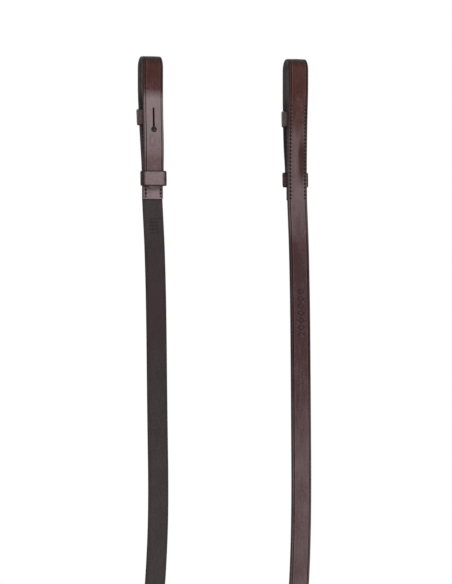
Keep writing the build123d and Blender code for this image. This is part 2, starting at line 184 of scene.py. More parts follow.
class Sweep:
    """Draws a section along a path, ring by ring, in one bmesh.

    The frame's x runs across the strap, y out of its grain side and z along it.
    """

    def __init__(
        self, section: Section | BandSection, start: Matrix, along: float = 0.0, way: int = 1
    ) -> None:
        """Start with a closed end.

        Args:
            section: the cross-section to draw.
            start: frame of the first ring.
            along: the first ring's distance along the leather, in metres.
            way: -1 where the leather is laid the other way round.
        """
        self.bm = bmesh.new()
        self.lay = self.bm.verts.layers.float_vector.new(LAY)
        self.frame, self.along, self.way = start.copy(), along, way
        self.across = self.depth = 1.0
        corners = section.outline()
        ring = [self.bm.verts.new(start @ corner) for corner in corners]
        for vert, corner in zip(ring, corners):
            vert[self.lay] = Vector((way * corner.x, along, corner.y))
        self.cap = self.bm.faces.new(ring)
        self.edges = list(self.cap.edges)
        self.first = list(self.edges)

    def advance(self, frame: Matrix, across: float = 1.0, depth: float = 1.0) -> None:
        """Draw the section on to the next ring.

        Args:
            frame: frame of the new ring.
            across: the new ring's share of the section's width.
            depth: the new ring's share of its thickness.
        """
        resize = Matrix.Diagonal((across / self.across, depth / self.depth, 1, 1))
        made = bmesh.ops.extrude_edge_only(self.bm, edges=self.edges)["geom"]
        verts = [item for item in made if isinstance(item, bmesh.types.BMVert)]
        move = frame @ resize @ self.frame.inverted()
        bmesh.ops.transform(self.bm, matrix=move, verts=verts)
        self.along += self.way * (frame.translation - self.frame.translation).length
        for vert in verts:
            vert[self.lay] = Vector((vert[self.lay].x, self.along, vert[self.lay].z))
        ring = set(verts)
        edges = [item for item in made if isinstance(item, bmesh.types.BMEdge)]
        self.edges = [edge for edge in edges if set(edge.verts) <= ring]
        self.frame, self.across, self.depth = frame.copy(), across, depth

    def run(self, length: float, steps: int = 1, depth: float | None = None) -> "Sweep":
        """Draw straight on.

        Args:
            length: how far, in metres.
            steps: how many rings.
            depth: share of the thickness at the end, or None to keep it.

        Returns:
            The sweep itself.
        """
        began, ends = self.depth, self.depth if depth is None else depth
        for step in range(1, steps + 1):
            move = Matrix.Translation((0, 0, length / steps))
            share = began + (ends - began) * step / steps
            self.advance(self.frame @ move, self.across, share)
        return self

    def bend(self, degrees: float, radius: float, steps: int, depth: float | None = None) -> "Sweep":
        """Draw round a bend; a positive one has the grain side outside.

        Args:
            degrees: how far the strap turns.
            radius: radius of the strap's middle, in metres.
            steps: how many rings.
            depth: share of the thickness at the end, or None to keep it.

        Returns:
            The sweep itself.
        """
        began, ends = self.depth, self.depth if depth is None else depth
        centre = Matrix.Translation((0, -math.copysign(radius, degrees), 0))
        turn = Matrix.Rotation(math.radians(degrees) / steps, 4, "X")
        for step in range(1, steps + 1):
            share = began + (ends - began) * step / steps
            self.advance(self.frame @ centre @ turn @ centre.inverted(), self.across, share)
        return self

    def tip(self, half_width: float, corner: float, steps: int = 9) -> "Sweep":
        """Draw a rounded tip.

        Args:
            half_width: half the section's width, in metres.
            corner: radius of the tip's corners, in metres.
            steps: how many rings.

        Returns:
            The sweep itself.
        """
        reached = 0.0
        for step in range(1, steps + 1):
            turn = math.radians(90 * step / steps)
            ahead = corner * math.sin(turn)
            across = (half_width - corner * (1 - math.cos(turn))) / half_width
            move = Matrix.Translation((0, 0, ahead - reached))
            depth = 1 - 0.35 * (step / steps) ** 3
            self.advance(self.frame @ move, across, depth)
            reached = ahead
        return self

    def close(self) -> bmesh.types.BMesh:
        """Cap the last ring and return the mesh."""
        bmesh.ops.edgeloop_fill(self.bm, edges=self.edges)
        bmesh.ops.recalc_face_normals(self.bm, faces=self.bm.faces)
        return self.bm

    def join(self) -> bmesh.types.BMesh:
        """Join the last ring to the first one, for a closed band, and return the mesh."""
        bmesh.ops.delete(self.bm, geom=[self.cap], context="FACES_ONLY")
        bmesh.ops.bridge_loops(self.bm, edges=self.edges + self.first)
        bmesh.ops.recalc_face_normals(self.bm, faces=self.bm.faces)
        return self.bm


@dataclass(frozen=True)
class Drum:
    """The round that the coil's turns lie on; a flat layout is wrapped on to it.

    In the flat layout y is the distance along the turn from its top, towards +Y, and z is the
    height over the middle of the turns.
    """

    radius: float = 48.065 * MM
    axis_z: float = -520.419 * MM

    def reach(self, degrees: float) -> float:
        """Distance along the turns from the top to an angle, in metres."""
        return self.radius * math.radians(degrees)

    def point(self, degrees: float, height: float = 0.0, x: float = 0.0) -> Vector:
        """Point at an angle from the top and a height over the turns' middle."""
        turn, out = math.radians(degrees), self.radius + height
        return Vector((x, out * math.sin(turn), self.axis_z + out * math.cos(turn)))

    def wrap(self, bm: bmesh.types.BMesh) -> bmesh.types.BMesh:
        """Bend a flat layout round the drum.

        Args:
            bm: the mesh, changed in place.

        Returns:
            The same mesh.
        """
        for vert in bm.verts:
            flat = vert.co.copy()
            vert.co = self.point(math.degrees(flat.y / self.radius), flat.z, flat.x)
        bmesh.ops.recalc_face_normals(bm, faces=bm.faces)
        return bm


DRUM = Drum()


def piece_from(
    bm: bmesh.types.BMesh,
    name: str,
    materials: list[bpy.types.Material],
    place: Matrix | None = None,
) -> bpy.types.Object:
    """Turn a bmesh into a piece with its place in its mesh.

    Args:
        bm: the mesh, which is freed.
        name: the piece's name.
        materials: grain material first, then the flesh one if there are two.
        place: move into the pair's frame.

    Returns:
        The new object.
    """
    if place is not None:
        bmesh.ops.transform(bm, matrix=place, verts=bm.verts)
    lay = bm.verts.layers.float_vector.get(LAY)
    for face in bm.faces:
        face.smooth = True
        if len(materials) > 1 and lay is not None:
            depth = sum(vert[lay].z for vert in face.verts) / len(face.verts)
            face.material_index = (Layer.GRAIN if depth > -0.5 * MM else Layer.FLESH).value
    crisp(bm)
    mesh = bpy.data.meshes.new(name)
    bm.to_mesh(mesh)
    bm.free()
    for material in materials:
        mesh.materials.append(material)
    piece = bpy.data.objects.new(name, mesh)
    bpy.context.scene.collection.objects.link(piece)
    return piece


def crisp(bm: bmesh.types.BMesh, degrees: float = 55.0) -> None:
    """Keep the edges sharp that turn by more than an angle."""
    for edge in bm.edges:
        edge.smooth = edge.calc_face_angle(0.0) < math.radians(degrees)


def lean(x: float, z: float) -> float:
    """X of a point on a bit end, which leans a little as it hangs."""
    share = min(1.0, max(0.0, (z + 20 * MM) / (SEWN_END + 20 * MM)))
    return x + LEAN * share * share * (3 - 2 * share)


def settle(piece: bpy.types.Object) -> bpy.types.Object:
    """Lean a bit end's finished piece and return it."""
    for vert in piece.data.vertices:
        vert.co.x = lean(vert.co.x, vert.co.z)
    return piece


def carry_layout(old: bpy.types.Mesh, new: bpy.types.Mesh) -> None:
    """Read the leather's layout at each point of a cut mesh from the mesh before the cut.

    Args:
        old: the mesh before the cut.
        new: the mesh after it, changed in place.
    """
    tree = BVHTree.FromPolygons([vert.co for vert in old.vertices], [face.vertices[:] for face in old.polygons])
    source = old.attributes[LAY].data
    target = (new.attributes.get(LAY) or new.attributes.new(LAY, "FLOAT_VECTOR", "POINT")).data
    for vert in new.vertices:
        spot, _, index, _ = tree.find_nearest(vert.co)
        corners = old.polygons[index].vertices
        shares = poly_3d_calc([old.vertices[corner].co for corner in corners], spot)
        value = Vector((0, 0, 0))
        for corner, share in zip(corners, shares):
            value += source[corner].vector * share
        target[vert.index].vector = value


def cut_out(piece: bpy.types.Object, cutter: bmesh.types.BMesh) -> None:
    """Cut a shape out of a piece and make the result its mesh.

    Args:
        piece: the piece, changed in place.
        cutter: closed shapes to take away, freed here.
    """
    mesh = bpy.data.meshes.new("cutter")
    cutter.to_mesh(mesh)
    cutter.free()
    tool = bpy.data.objects.new("cutter", mesh)
    bpy.context.scene.collection.objects.link(tool)
    modifier = piece.modifiers.new("holes", "BOOLEAN")
    modifier.operation, modifier.solver, modifier.object = "DIFFERENCE", "EXACT", tool
    bpy.context.view_layer.update()
    evaluated = piece.evaluated_get(bpy.context.evaluated_depsgraph_get())
    cut = bpy.data.meshes.new_from_object(evaluated)
    piece.modifiers.clear()
    old, name = piece.data, piece.data.name
    carry_layout(old, cut)
    bm = bmesh.new()
    bm.from_mesh(cut)
    crisp(bm)
    bm.to_mesh(cut)
    bm.free()
    piece.data = cut
    bpy.data.meshes.remove(old)
    cut.name = name
    bpy.data.objects.remove(tool)
    bpy.data.meshes.remove(mesh)


class Graph:
    """Builds the node tree of one material."""

    def __init__(self, name: str) -> None:
        """Start an empty tree.

        Args:
            name: the material's name.
        """
        self.material = bpy.data.materials.new(name)
        self.material.use_nodes = True
        self.tree = self.material.node_tree
        self.tree.nodes.clear()
        self.out = self.node("ShaderNodeOutputMaterial")
        self.shader = self.node("ShaderNodeBsdfPrincipled")
        self.tree.links.new(self.shader.outputs[0], self.out.inputs[0])

    def node(self, kind: str, **settings: object) -> bpy.types.Node:
        """Add a node and set its properties."""
        made = self.tree.nodes.new(kind)
        for key, value in settings.items():
            setattr(made, key, value)
        return made

    def feed(self, socket: bpy.types.NodeSocket, value: object) -> None:
        """Link a socket to another, or set its value."""
        if isinstance(value, bpy.types.NodeSocket):
            self.tree.links.new(value, socket)
        else:
            socket.default_value = value

    def lay(self, zero: float = 0.0, way: int = 1) -> tuple[bpy.types.NodeSocket, ...]:
        """The piece's own layout in millimetres.

        Args:
            zero: where the distance along counts from.
            way: -1 to count it backwards.

        Returns:
            The whole vector, then across, along and depth.
        """
        read = self.node("ShaderNodeAttribute", attribute_name=LAY)
        scale = self.node("ShaderNodeVectorMath", operation="SCALE")
        self.feed(scale.inputs[0], read.outputs["Vector"])
        scale.inputs["Scale"].default_value = 1000.0
        parts = self.node("ShaderNodeSeparateXYZ")
        self.feed(parts.inputs[0], scale.outputs[0])
        along = self.math("MULTIPLY", self.math("SUBTRACT", parts.outputs[1], zero), way)
        return scale.outputs[0], parts.outputs[0], along, parts.outputs[2]

    def spot(
        self, across: object, along: object, at: tuple[float, float, float, float], soft: Stops
    ) -> bpy.types.NodeSocket:
        """A soft oval: 1 inside and 0 outside.

        Args:
            across: distance across the leather.
            along: distance along it.
            at: across, along, half the width and half the length of the oval.
            soft: the share of its size where it starts to show, and where it shows fully.

        Returns:
            How much of the oval there is.
        """
        off = self.math("DIVIDE", self.math("SUBTRACT", across, at[0]), at[2])
        near = self.math("DIVIDE", self.math("SUBTRACT", along, at[1]), at[3])
        far = self.math("SQRT", self.math("ADD", self.math("POWER", off, 2.0), self.math("POWER", near, 2.0)))
        return self.ease(far, soft[0], soft[1])

    def between(self, value: object, start: float, stop: float) -> bpy.types.NodeSocket:
        """1 from start to stop, else 0."""
        return self.math("MULTIPLY", self.math("GREATER_THAN", value, start), self.math("LESS_THAN", value, stop))

    def seam(self, side: object, along: object, rows: tuple[float, float]) -> bpy.types.NodeSocket:
        """Dents of the two stitch rows, one under each stitch."""
        step = self.math("PINGPONG", self.math("SUBTRACT", along, rows[0]), Stitches.pitch / MM / 2)
        dent = self.spot(side, step, (6.15, 0.0, 1.15, 1.28), (1.15, 0.66))
        return self.math("MULTIPLY", dent, self.between(along, rows[0] - 1.5, rows[1]))

    def ridges(self, side: object, along: object, rows: tuple[float, float]) -> bpy.types.NodeSocket:
        """Mask of the leather between the stitches, which is only lightened as a painted highlight."""
        step = self.math("PINGPONG", self.math("SUBTRACT", along, rows[0] + 1.5), Stitches.pitch / MM / 2)
        ridge = self.spot(side, step, (6.0, 0.0, 1.3, 0.62), (1.1, 0.4))
        return self.math("MULTIPLY", ridge, self.between(along, rows[0] - 1.5, rows[1]))

    def place(self) -> bpy.types.NodeSocket:
        """The place in the object, in millimetres."""
        read = self.node("ShaderNodeTexCoord")
        scale = self.node("ShaderNodeVectorMath", operation="SCALE")
        self.feed(scale.inputs[0], read.outputs["Object"])
        scale.inputs["Scale"].default_value = 1000.0
        return scale.outputs[0]

    def stretch(self, vector: bpy.types.NodeSocket, by: Colour) -> bpy.types.NodeSocket:
        """Scale a vector by a different amount on each axis."""
        made = self.node("ShaderNodeVectorMath", operation="MULTIPLY")
        self.feed(made.inputs[0], vector)
        made.inputs[1].default_value = by
        return made.outputs[0]

    def math(self, operation: str, *values: object) -> bpy.types.NodeSocket:
        """One arithmetic step on sockets or numbers."""
        made = self.node("ShaderNodeMath", operation=operation)
        for socket, value in zip(made.inputs, values):
            self.feed(socket, value)
        return made.outputs[0]

    def noise(self, vector: bpy.types.NodeSocket, scale: float, detail: float = 3.0) -> bpy.types.NodeSocket:
        """Cloudy noise; the scale is in features per millimetre."""
        made = self.node("ShaderNodeTexNoise")
        self.feed(made.inputs["Vector"], vector)
        made.inputs["Scale"].default_value = scale
        made.inputs["Detail"].default_value = detail
        return made.outputs[0]

    def cells(self, vector: bpy.types.NodeSocket, scale: float) -> bpy.types.NodeSocket:
        """Distance to the edges of grain cells; the scale is in cells per millimetre."""
        made = self.node("ShaderNodeTexVoronoi", feature="DISTANCE_TO_EDGE")
        self.feed(made.inputs["Vector"], vector)
        made.inputs["Scale"].default_value = scale
        return made.outputs["Distance"]

    def ease(self, value: object, low: float, high: float, start: float = 0.0, stop: float = 1.0) -> bpy.types.NodeSocket:
        """Smooth step from start to stop as a value goes from low to high."""
        made = self.node("ShaderNodeMapRange", interpolation_type="SMOOTHSTEP")
        for socket, item in zip(made.inputs, (value, low, high, start, stop)):
            self.feed(socket, item)
        return made.outputs[0]

    def curve(self, value: object, low: float, high: float, stops: Stops) -> bpy.types.NodeSocket:
        """Follow a list of values along a length.

        Args:
            value: the distance.
            low: distance of the start.
            high: distance of the end.
            stops: pairs of distance and value from 0 to 1.

        Returns:
            The value at that distance.
        """
        ramp = self.node("ShaderNodeValToRGB")
        self.feed(ramp.inputs[0], self.node_range(value, low, high))
        steps = ramp.color_ramp.elements
        while len(steps) < len(stops):
            steps.new(0.5)
        for element, (where, amount) in zip(steps, stops):
            element.position = (where - low) / (high - low)
        for element, (where, amount) in zip(steps, stops):
            element.color = (amount, amount, amount, 1)
        return ramp.outputs[0]

    def node_range(self, value: object, low: float, high: float) -> bpy.types.NodeSocket:
        """Straight map of low to high on to 0 to 1."""
        made = self.node("ShaderNodeMapRange")
        for socket, item in zip(made.inputs, (value, low, high)):
            self.feed(socket, item)
        return made.outputs[0]

    def blend(self, share: object, first: object, second: object, mode: str = "MIX") -> bpy.types.NodeSocket:
        """Mix two colours; a share of 1 is all of the second."""
        made = self.node("ShaderNodeMix", data_type="RGBA", blend_type=mode)
        for socket, value in ((made.inputs[0], share), (made.inputs[6], first), (made.inputs[7], second)):
            if isinstance(value, tuple) and len(value) == 3:
                value = (*value, 1.0)
            self.feed(socket, value)
        return made.outputs[2]

    def relief(self, height: bpy.types.NodeSocket, millimetres: float) -> bpy.types.NodeSocket:
        """Normal of a surface whose height is given in shares of a depth."""
        made = self.node("ShaderNodeBump")
        made.inputs["Strength"].default_value = 1.0
        made.inputs["Distance"].default_value = millimetres * MM
        self.feed(made.inputs["Height"], height)
        return made.outputs[0]

    def finish(self, colour: object, roughness: object, normal: object = None, **fixed: object) -> bpy.types.Material:
        """Connect the shader.

        Args:
            colour: colour or socket.
            roughness: number or socket.
            normal: socket, if there is relief.
            fixed: plain values of further shader sockets.

        Returns:
            The material.
        """
        if isinstance(colour, tuple) and len(colour) == 3:
            colour = (*colour, 1.0)
        self.feed(self.shader.inputs["Base Color"], colour)
        self.feed(self.shader.inputs["Roughness"], roughness)
        if normal is not None:
            self.feed(self.shader.inputs["Normal"], normal)
        for name, value in fixed.items():
            self.shader.inputs[name.replace("_", " ")].default_value = value
        return self.material


@dataclass(frozen=True)
class GrainLeather:
    """Outside of the bridle leather: a fine satin grain over a dark red-brown dye, with a painted sheen and painted
    shade laid along it.
    """

    name: str
    dark: Colour = (0.056, 0.0115, 0.0085)
    deep: Colour = (0.05, 0.0165, 0.0185)
    deepens: tuple[float, float] = (60.0, 150.0)
    # Pale colour that the leather's tone mottles towards, and the colour of the painted satin sheen.
    pale_tone_and_sheen: Colour = (0.25, 0.186, 0.192)
    # Stops along the strap, in millimetres, of the share of the painted sheen: high where a painted highlight lies, low
    # for painted shade.
    tone_and_painted_light: Stops = ((0.0, 0.2), (100.0, 0.2))
    zero: float = 0.0
    way: int = 1
    streaks: float = 0.3
    mottle: float = 0.28
    satin: float = 0.42
    half: float = 8.2
    rim_dark: float = 0.55
    crease: float = 6.3
    stitched: tuple[float, float] | None = None
    lozenges: tuple[float, float] | None = None
    # Across, along, half width and half length of the stud's bump under the billet, with a painted shade ring round it.
    pressed: tuple[float, float, float, float] | None = None
    # Across, along, half width and half length of a painted shadow patch.
    shade: tuple[float, float, float, float] | None = None
    # Middle and half length of a painted shade band over the top of the loop.
    crown: tuple[float, float] | None = None

    def build(self) -> bpy.types.Material:
        """Make the material."""
        graph = Graph(self.name)
        vector, across, along, depth = graph.lay(self.zero, self.way)
        side = graph.math("ABSOLUTE", across)
        cells = graph.ease(graph.cells(vector, 1.5), 0.0, 0.16)
        pores = graph.noise(vector, 4.2, 2.0)
        pull = graph.noise(graph.stretch(vector, (1.0, 0.11, 1.0)), 0.62, 4.0)
        fleck = graph.noise(graph.stretch(vector, (1.0, 0.7, 1.0)), 0.75, 2.0)
        clouds = graph.noise(graph.stretch(vector, (1.0, 0.45, 1.0)), 0.1, 3.0)
        # Painted sheen and shade along the strap first, then noise for the leather's own mottled tone.
        share = graph.curve(along, self.tone_and_painted_light[0][0], self.tone_and_painted_light[-1][0], self.tone_and_painted_light)
        for field_noise, amount in (
            (clouds, 0.45), (pull, self.streaks), (fleck, self.mottle), (pores, 0.12)
        ):
            share = graph.math("MULTIPLY_ADD", graph.math("SUBTRACT", field_noise, 0.5), amount, share)
        # Painted shadow patch: less sheen inside it.
        if self.shade:
            patch = graph.spot(across, along, self.shade, (1.3, 0.3))
            share = graph.math("MULTIPLY_ADD", patch, -0.4, share)
        # Painted highlight on the leather between the stitches.
        if self.stitched:
            share = graph.math("MULTIPLY_ADD", graph.ridges(side, along, self.stitched), 0.22, share)
        share = graph.math("MULTIPLY", share, 1.0)
        share.node.use_clamp = True
        dye = graph.blend(graph.ease(along, *self.deepens), self.dark, self.deep)
        # The dye is mixed towards the painted sheen colour by the share worked out above.
        colour = graph.blend(share, dye, self.pale_tone_and_sheen)
        colour = self._edges(graph, colour, side, depth)
        height = graph.math("MULTIPLY_ADD", pull, 0.8, graph.math("MULTIPLY", cells, 0.5))
        height = graph.math("MULTIPLY_ADD", fleck, 0.8, graph.math("MULTIPLY_ADD", pores, 0.35, height))
        # Painted shade: a dark grey band over the top of the loop, where the strap turns over and away.
        if self.crown:
            middle = graph.math("ABSOLUTE", graph.math("SUBTRACT", along, self.crown[0]))
            crown_shade = graph.ease(middle, self.crown[1] + 1.2, self.crown[1] - 1.2)
            colour = graph.blend(graph.math("MULTIPLY", crown_shade, 0.85), colour, (0.032, 0.029, 0.029))
        # Painted shadow patch: the colour darkens to a deep red.
        if self.shade:
            colour = graph.blend(graph.math("MULTIPLY", patch, 0.35), colour, (0.03, 0.006, 0.006))
        if self.stitched:
            # The stitch dents go near black: painted shade in the stitch holes.
            dent = graph.seam(side, along, self.stitched)
            colour = graph.blend(graph.math("MULTIPLY", dent, 0.93), colour, (0.004, 0.002, 0.002))
            height = graph.math("SUBTRACT", height, graph.math("MULTIPLY", dent, 4.0))
        if self.lozenges:
            mark = self._lozenges(graph, across, along)
            colour = graph.blend(graph.math("MULTIPLY", mark, 0.72), colour, (0.012, 0.006, 0.006))
            height = graph.math("SUBTRACT", height, graph.math("MULTIPLY", mark, 3.2))
        if self.pressed:
            mark = graph.spot(across, along, self.pressed, (1.3, 0.6))
            height = graph.math("MULTIPLY_ADD", mark, 3.0, height)
            # Painted shade: a darker ring round the bump.
            ring = graph.math("SUBTRACT", mark, graph.spot(across, along, self.pressed, (0.8, 0.3)))
            colour = graph.blend(graph.math("MULTIPLY", ring, 0.3), colour, self.dark)
        rough = graph.math("MULTIPLY_ADD", pull, 0.16, self.satin - 0.04)
        return graph.finish(colour, rough, graph.relief(height, 0.055), Specular_IOR_Level=0.2)

    def _edges(self, graph: Graph, colour: object, side: object, depth: object) -> object:
        """Darken the dyed edges, paint shade into the crease and the keyhole's walls, and paint a highlight on the lip
        beside the crease.
        """
        rim = graph.math("MULTIPLY", graph.ease(side, self.half - 1.2, self.half - 0.5), self.rim_dark)
        # Below the grain surface the colour darkens: dyed edge faces, and painted shade in the crease and on the
        # keyhole's walls.
        low = graph.ease(depth, 1.35, 0.5) if self.crease else 0.0
        colour = graph.blend(graph.math("MAXIMUM", rim, low), colour, (0.018, 0.009, 0.009))
        if not self.crease:
            return colour
        # Painted shade along the bottom of the crease.
        line = graph.math("ABSOLUTE", graph.math("SUBTRACT", side, self.crease))
        colour = graph.blend(graph.math("MULTIPLY", graph.ease(line, 0.55, 0.15), 0.8), colour, (0.008, 0.004, 0.004))
        # Painted highlight in the sheen colour on the lip inside the crease.
        lip = graph.math("ABSOLUTE", graph.math("SUBTRACT", side, self.crease - 0.8))
        return graph.blend(graph.math("MULTIPLY", graph.ease(lip, 0.5, 0.1), 0.14), colour, self.pale_tone_and_sheen)

    def _lozenges(self, graph: Graph, across: object, along: object) -> bpy.types.NodeSocket:
        """A row of plain stamped lozenges down the middle."""
        step = graph.math("PINGPONG", graph.math("SUBTRACT", along, self.lozenges[0]), 2.9)
        off = graph.math("DIVIDE", graph.math("ABSOLUTE", across), 3.3)
        far = graph.math("ADD", off, graph.math("DIVIDE", graph.math("SUBTRACT", 2.9, step), 2.5))
        ring = graph.math("ABSOLUTE", graph.math("SUBTRACT", far, 0.8))
        return graph.math("MULTIPLY", graph.ease(ring, 0.28, 0.1), graph.between(along, *self.lozenges))


@dataclass(frozen=True)
class FleshLeather:
    """Inside of the leather: a matte, short nap with fibres along the strap."""

    name: str
    dark: Colour = (0.024, 0.0165, 0.0175)
    pale: Colour = (0.064, 0.051, 0.053)
    # Stops along the strap of the share of the pale colour: the flesh's own tone, with painted highlight and shade
    # where they vary.
    tone_and_painted_light: Stops = ((0.0, 0.4), (100.0, 0.4))
    zero: float = 0.0
    way: int = 1
    mottle: float = 0.9
    rough: float = 0.86
    blush: tuple[float, float] | None = None
    stitched: tuple[float, float] | None = None
    bars: tuple[float, float] | None = None

    def build(self) -> bpy.types.Material:
        """Make the material."""
        graph = Graph(self.name)
        vector, across, along, depth = graph.lay(self.zero, self.way)
        side = graph.math("ABSOLUTE", across)
        nap = graph.noise(vector, 5.5, 3.0)
        fleck = graph.noise(vector, 0.8, 2.0)
        fibre = graph.noise(graph.stretch(vector, (1.0, 0.09, 1.0)), 1.3, 5.0)
        clouds = graph.noise(graph.stretch(vector, (1.0, 0.4, 1.0)), 0.09, 3.0)
        # Painted highlight and shade along the strap first, then noise for the flesh's own mottled tone.
        share = graph.curve(along, self.tone_and_painted_light[0][0], self.tone_and_painted_light[-1][0], self.tone_and_painted_light)
        for field_noise, amount in ((clouds, 0.6), (fibre, 0.8), (fleck, self.mottle), (nap, 0.3)):
            share = graph.math("MULTIPLY_ADD", graph.math("SUBTRACT", field_noise, 0.5), amount, share)
        share = graph.math("MULTIPLY", share, 1.0)
        share.node.use_clamp = True
        colour = graph.blend(share, self.dark, self.pale)
        if self.blush:
            warm = graph.ease(graph.math("ABSOLUTE", graph.math("SUBTRACT", along, self.blush[0])), self.blush[1], 0.0)
            warm = graph.math("MULTIPLY", warm, graph.ease(clouds, 0.2, 0.7, 0.5, 1.0))
            colour = graph.blend(warm, colour, (0.044, 0.0245, 0.029))
        rim = graph.ease(side, 7.2, 7.9)
        colour = graph.blend(graph.math("MULTIPLY", rim, 0.5), colour, (0.02, 0.011, 0.011))
        line = graph.ease(graph.math("ABSOLUTE", graph.math("SUBTRACT", side, 6.6)), 0.5, 0.1)
        colour = graph.blend(graph.math("MULTIPLY", line, 0.35), colour, (0.01, 0.007, 0.007))
        height = graph.math("MULTIPLY_ADD", fibre, 0.9, graph.math("MULTIPLY", nap, 0.6))
        if self.stitched:
            # The stitch dents go near black: painted shade in the stitch holes.
            dent = graph.seam(side, along, self.stitched)
            colour = graph.blend(graph.math("MULTIPLY", dent, 0.93), colour, (0.004, 0.002, 0.002))
            height = graph.math("SUBTRACT", height, graph.math("MULTIPLY", dent, 4.0))
        if self.bars:
            step = graph.math("PINGPONG", graph.math("SUBTRACT", along, self.bars[0]), 1.4)
            mark = graph.math("MULTIPLY", graph.ease(step, 0.95, 0.45), graph.between(along, *self.bars))
            mark = graph.math("MULTIPLY", mark, graph.ease(side, 4.0, 3.4))
            colour = graph.blend(graph.math("MULTIPLY", mark, 0.4), colour, (0.012, 0.008, 0.008))
            height = graph.math("SUBTRACT", height, graph.math("MULTIPLY", mark, 1.5))
        return graph.finish(colour, self.rough, graph.relief(height, 0.07), Specular_IOR_Level=0.28)


@dataclass(frozen=True)
class WaxedThread:
    """Dark waxed linen thread with a twist."""

    name: str = "waxed_thread"
    colour: Colour = (0.01, 0.006, 0.006)
    pale: Colour = (0.06, 0.04, 0.04)

    def build(self) -> bpy.types.Material:
        """Make the material."""
        graph = Graph(self.name)
        place = graph.place()
        twist = graph.node("ShaderNodeTexWave", wave_type="BANDS", bands_direction="DIAGONAL")
        graph.feed(twist.inputs["Vector"], place)
        twist.inputs["Scale"].default_value = 1.6
        fuzz = graph.noise(place, 6.0, 2.0)
        share = graph.math("MULTIPLY_ADD", fuzz, 0.5, graph.math("MULTIPLY", twist.outputs[1], 0.4))
        colour = graph.blend(share, self.colour, self.pale)
        return graph.finish(colour, 0.5, graph.relief(twist.outputs[1], 0.05), Specular_IOR_Level=0.4)


@dataclass(frozen=True)
class PolishedSteel:
    """Stainless fittings, polished, with fine marks of use."""

    name: str = "polished_steel"
    colour: Colour = (0.66, 0.64, 0.6)

    def build(self) -> bpy.types.Material:
        """Make the material."""
        graph = Graph(self.name)
        place = graph.place()
        fine = graph.noise(graph.stretch(place, (1.0, 6.0, 1.0)), 2.4, 3.0)
        cloud = graph.noise(place, 0.3, 3.0)
        colour = graph.blend(cloud, self.colour, tuple(0.72 * value for value in self.colour))
        rough = graph.math("MULTIPLY_ADD", fine, 0.16, 0.14)
        return graph.finish(colour, rough, graph.relief(fine, 0.012), Metallic=1.0)


@dataclass(frozen=True)
class CottonTape:
    """Woven cotton tape."""

    name: str = "cotton_tape"
    colour: Colour = (0.62, 0.56, 0.45)

    def build(self) -> bpy.types.Material:
        """Make the material."""
        graph = Graph(self.name)
        vector, across, along, depth = graph.lay()
        warp = graph.math("SINE", graph.math("MULTIPLY", across, 7.4))
        weft = graph.math("SINE", graph.math("MULTIPLY", along, 6.2))
        weave = graph.math("MULTIPLY", warp, weft)
        fuzz = graph.noise(vector, 2.4, 3.0)
        stain = graph.noise(vector, 0.07, 3.0)
        share = graph.math("MULTIPLY_ADD", fuzz, 0.35, graph.math("MULTIPLY_ADD", weave, 0.2, 0.25))
        colour = graph.blend(share, self.colour, tuple(0.5 * value for value in self.colour))
        colour = graph.blend(graph.math("MULTIPLY", stain, 0.35), colour, (0.3, 0.24, 0.17))
        height = graph.math("MULTIPLY_ADD", weave, 0.5, graph.math("MULTIPLY", fuzz, 0.6))
        return graph.finish(colour, 0.92, graph.relief(height, 0.12), Specular_IOR_Level=0.2)


@dataclass(frozen=True)
class Stitches:
    """Rows of stitches that lie along a strap; each stitch is a short, slightly slanted bead."""

    pitch: float = 3.0 * MM
    length: float = 2.3 * MM
    width: float = 0.85 * MM
    height: float = 0.62 * MM
    slant: float = 11.0

    def sew(self, bm: bmesh.types.BMesh, frames: list[Matrix], across: float, lift: float) -> None:
        """Lay one row.

        Args:
            bm: mesh that takes the stitches.
            frames: frame of each stitch, on the strap's middle.
            across: the row's place across the strap.
            lift: the stitches' height over the strap's middle, to either side.
        """
        bead = Matrix.Diagonal((self.width / 2, self.height / 2, self.length / 2, 1))
        for frame_here in frames:
            lean = Matrix.Rotation(math.radians(math.copysign(self.slant, across)), 4, "Y")
            place = frame_here @ Matrix.Translation((across, lift, 0)) @ lean @ bead
            bmesh.ops.create_uvsphere(bm, u_segments=8, v_segments=6, radius=1.0, matrix=place)


@dataclass
class Finishes:
    """Every finish that several pieces share."""

    thread: bpy.types.Material = field(default_factory=lambda: WaxedThread().build())
    steel: bpy.types.Material = field(default_factory=lambda: PolishedSteel().build())
    tape: bpy.types.Material = field(default_factory=lambda: CottonTape().build())


def keeper_grain(name: str, total: float, width: float, face: float, side: float) -> GrainLeather:
    """Leather of a keeper: a painted sheen on its face, painted shade round its sides, and dark rims that are dyed
    edges with painted shade in the gaps beside it.

    Args:
        name: the material's name.
        total: length of the band in millimetres.
        width: its width in millimetres.
        face: share of painted sheen on its face.
        side: share of painted sheen on its sides, lower than the face for painted shade.

    Returns:
        The finish.
    """
    middle = total / 2
    stops = (
        (0.0, side), (middle - 8.6, side), (middle - 7.2, face), (middle, face * 0.96),
        (middle + 6.6, face), (middle + 8.0, side), (total, side),
    )
    # The strong rim darkening is dyed edges, with painted shade in the gap between keeper and billet.
    return GrainLeather(
        name, tone_and_painted_light=stops, streaks=0.1, mottle=0.75, half=width / 2, rim_dark=0.9, crease=0.0,
        dark=(0.035, 0.0115, 0.0105), deep=(0.035, 0.0115, 0.0105),
    )


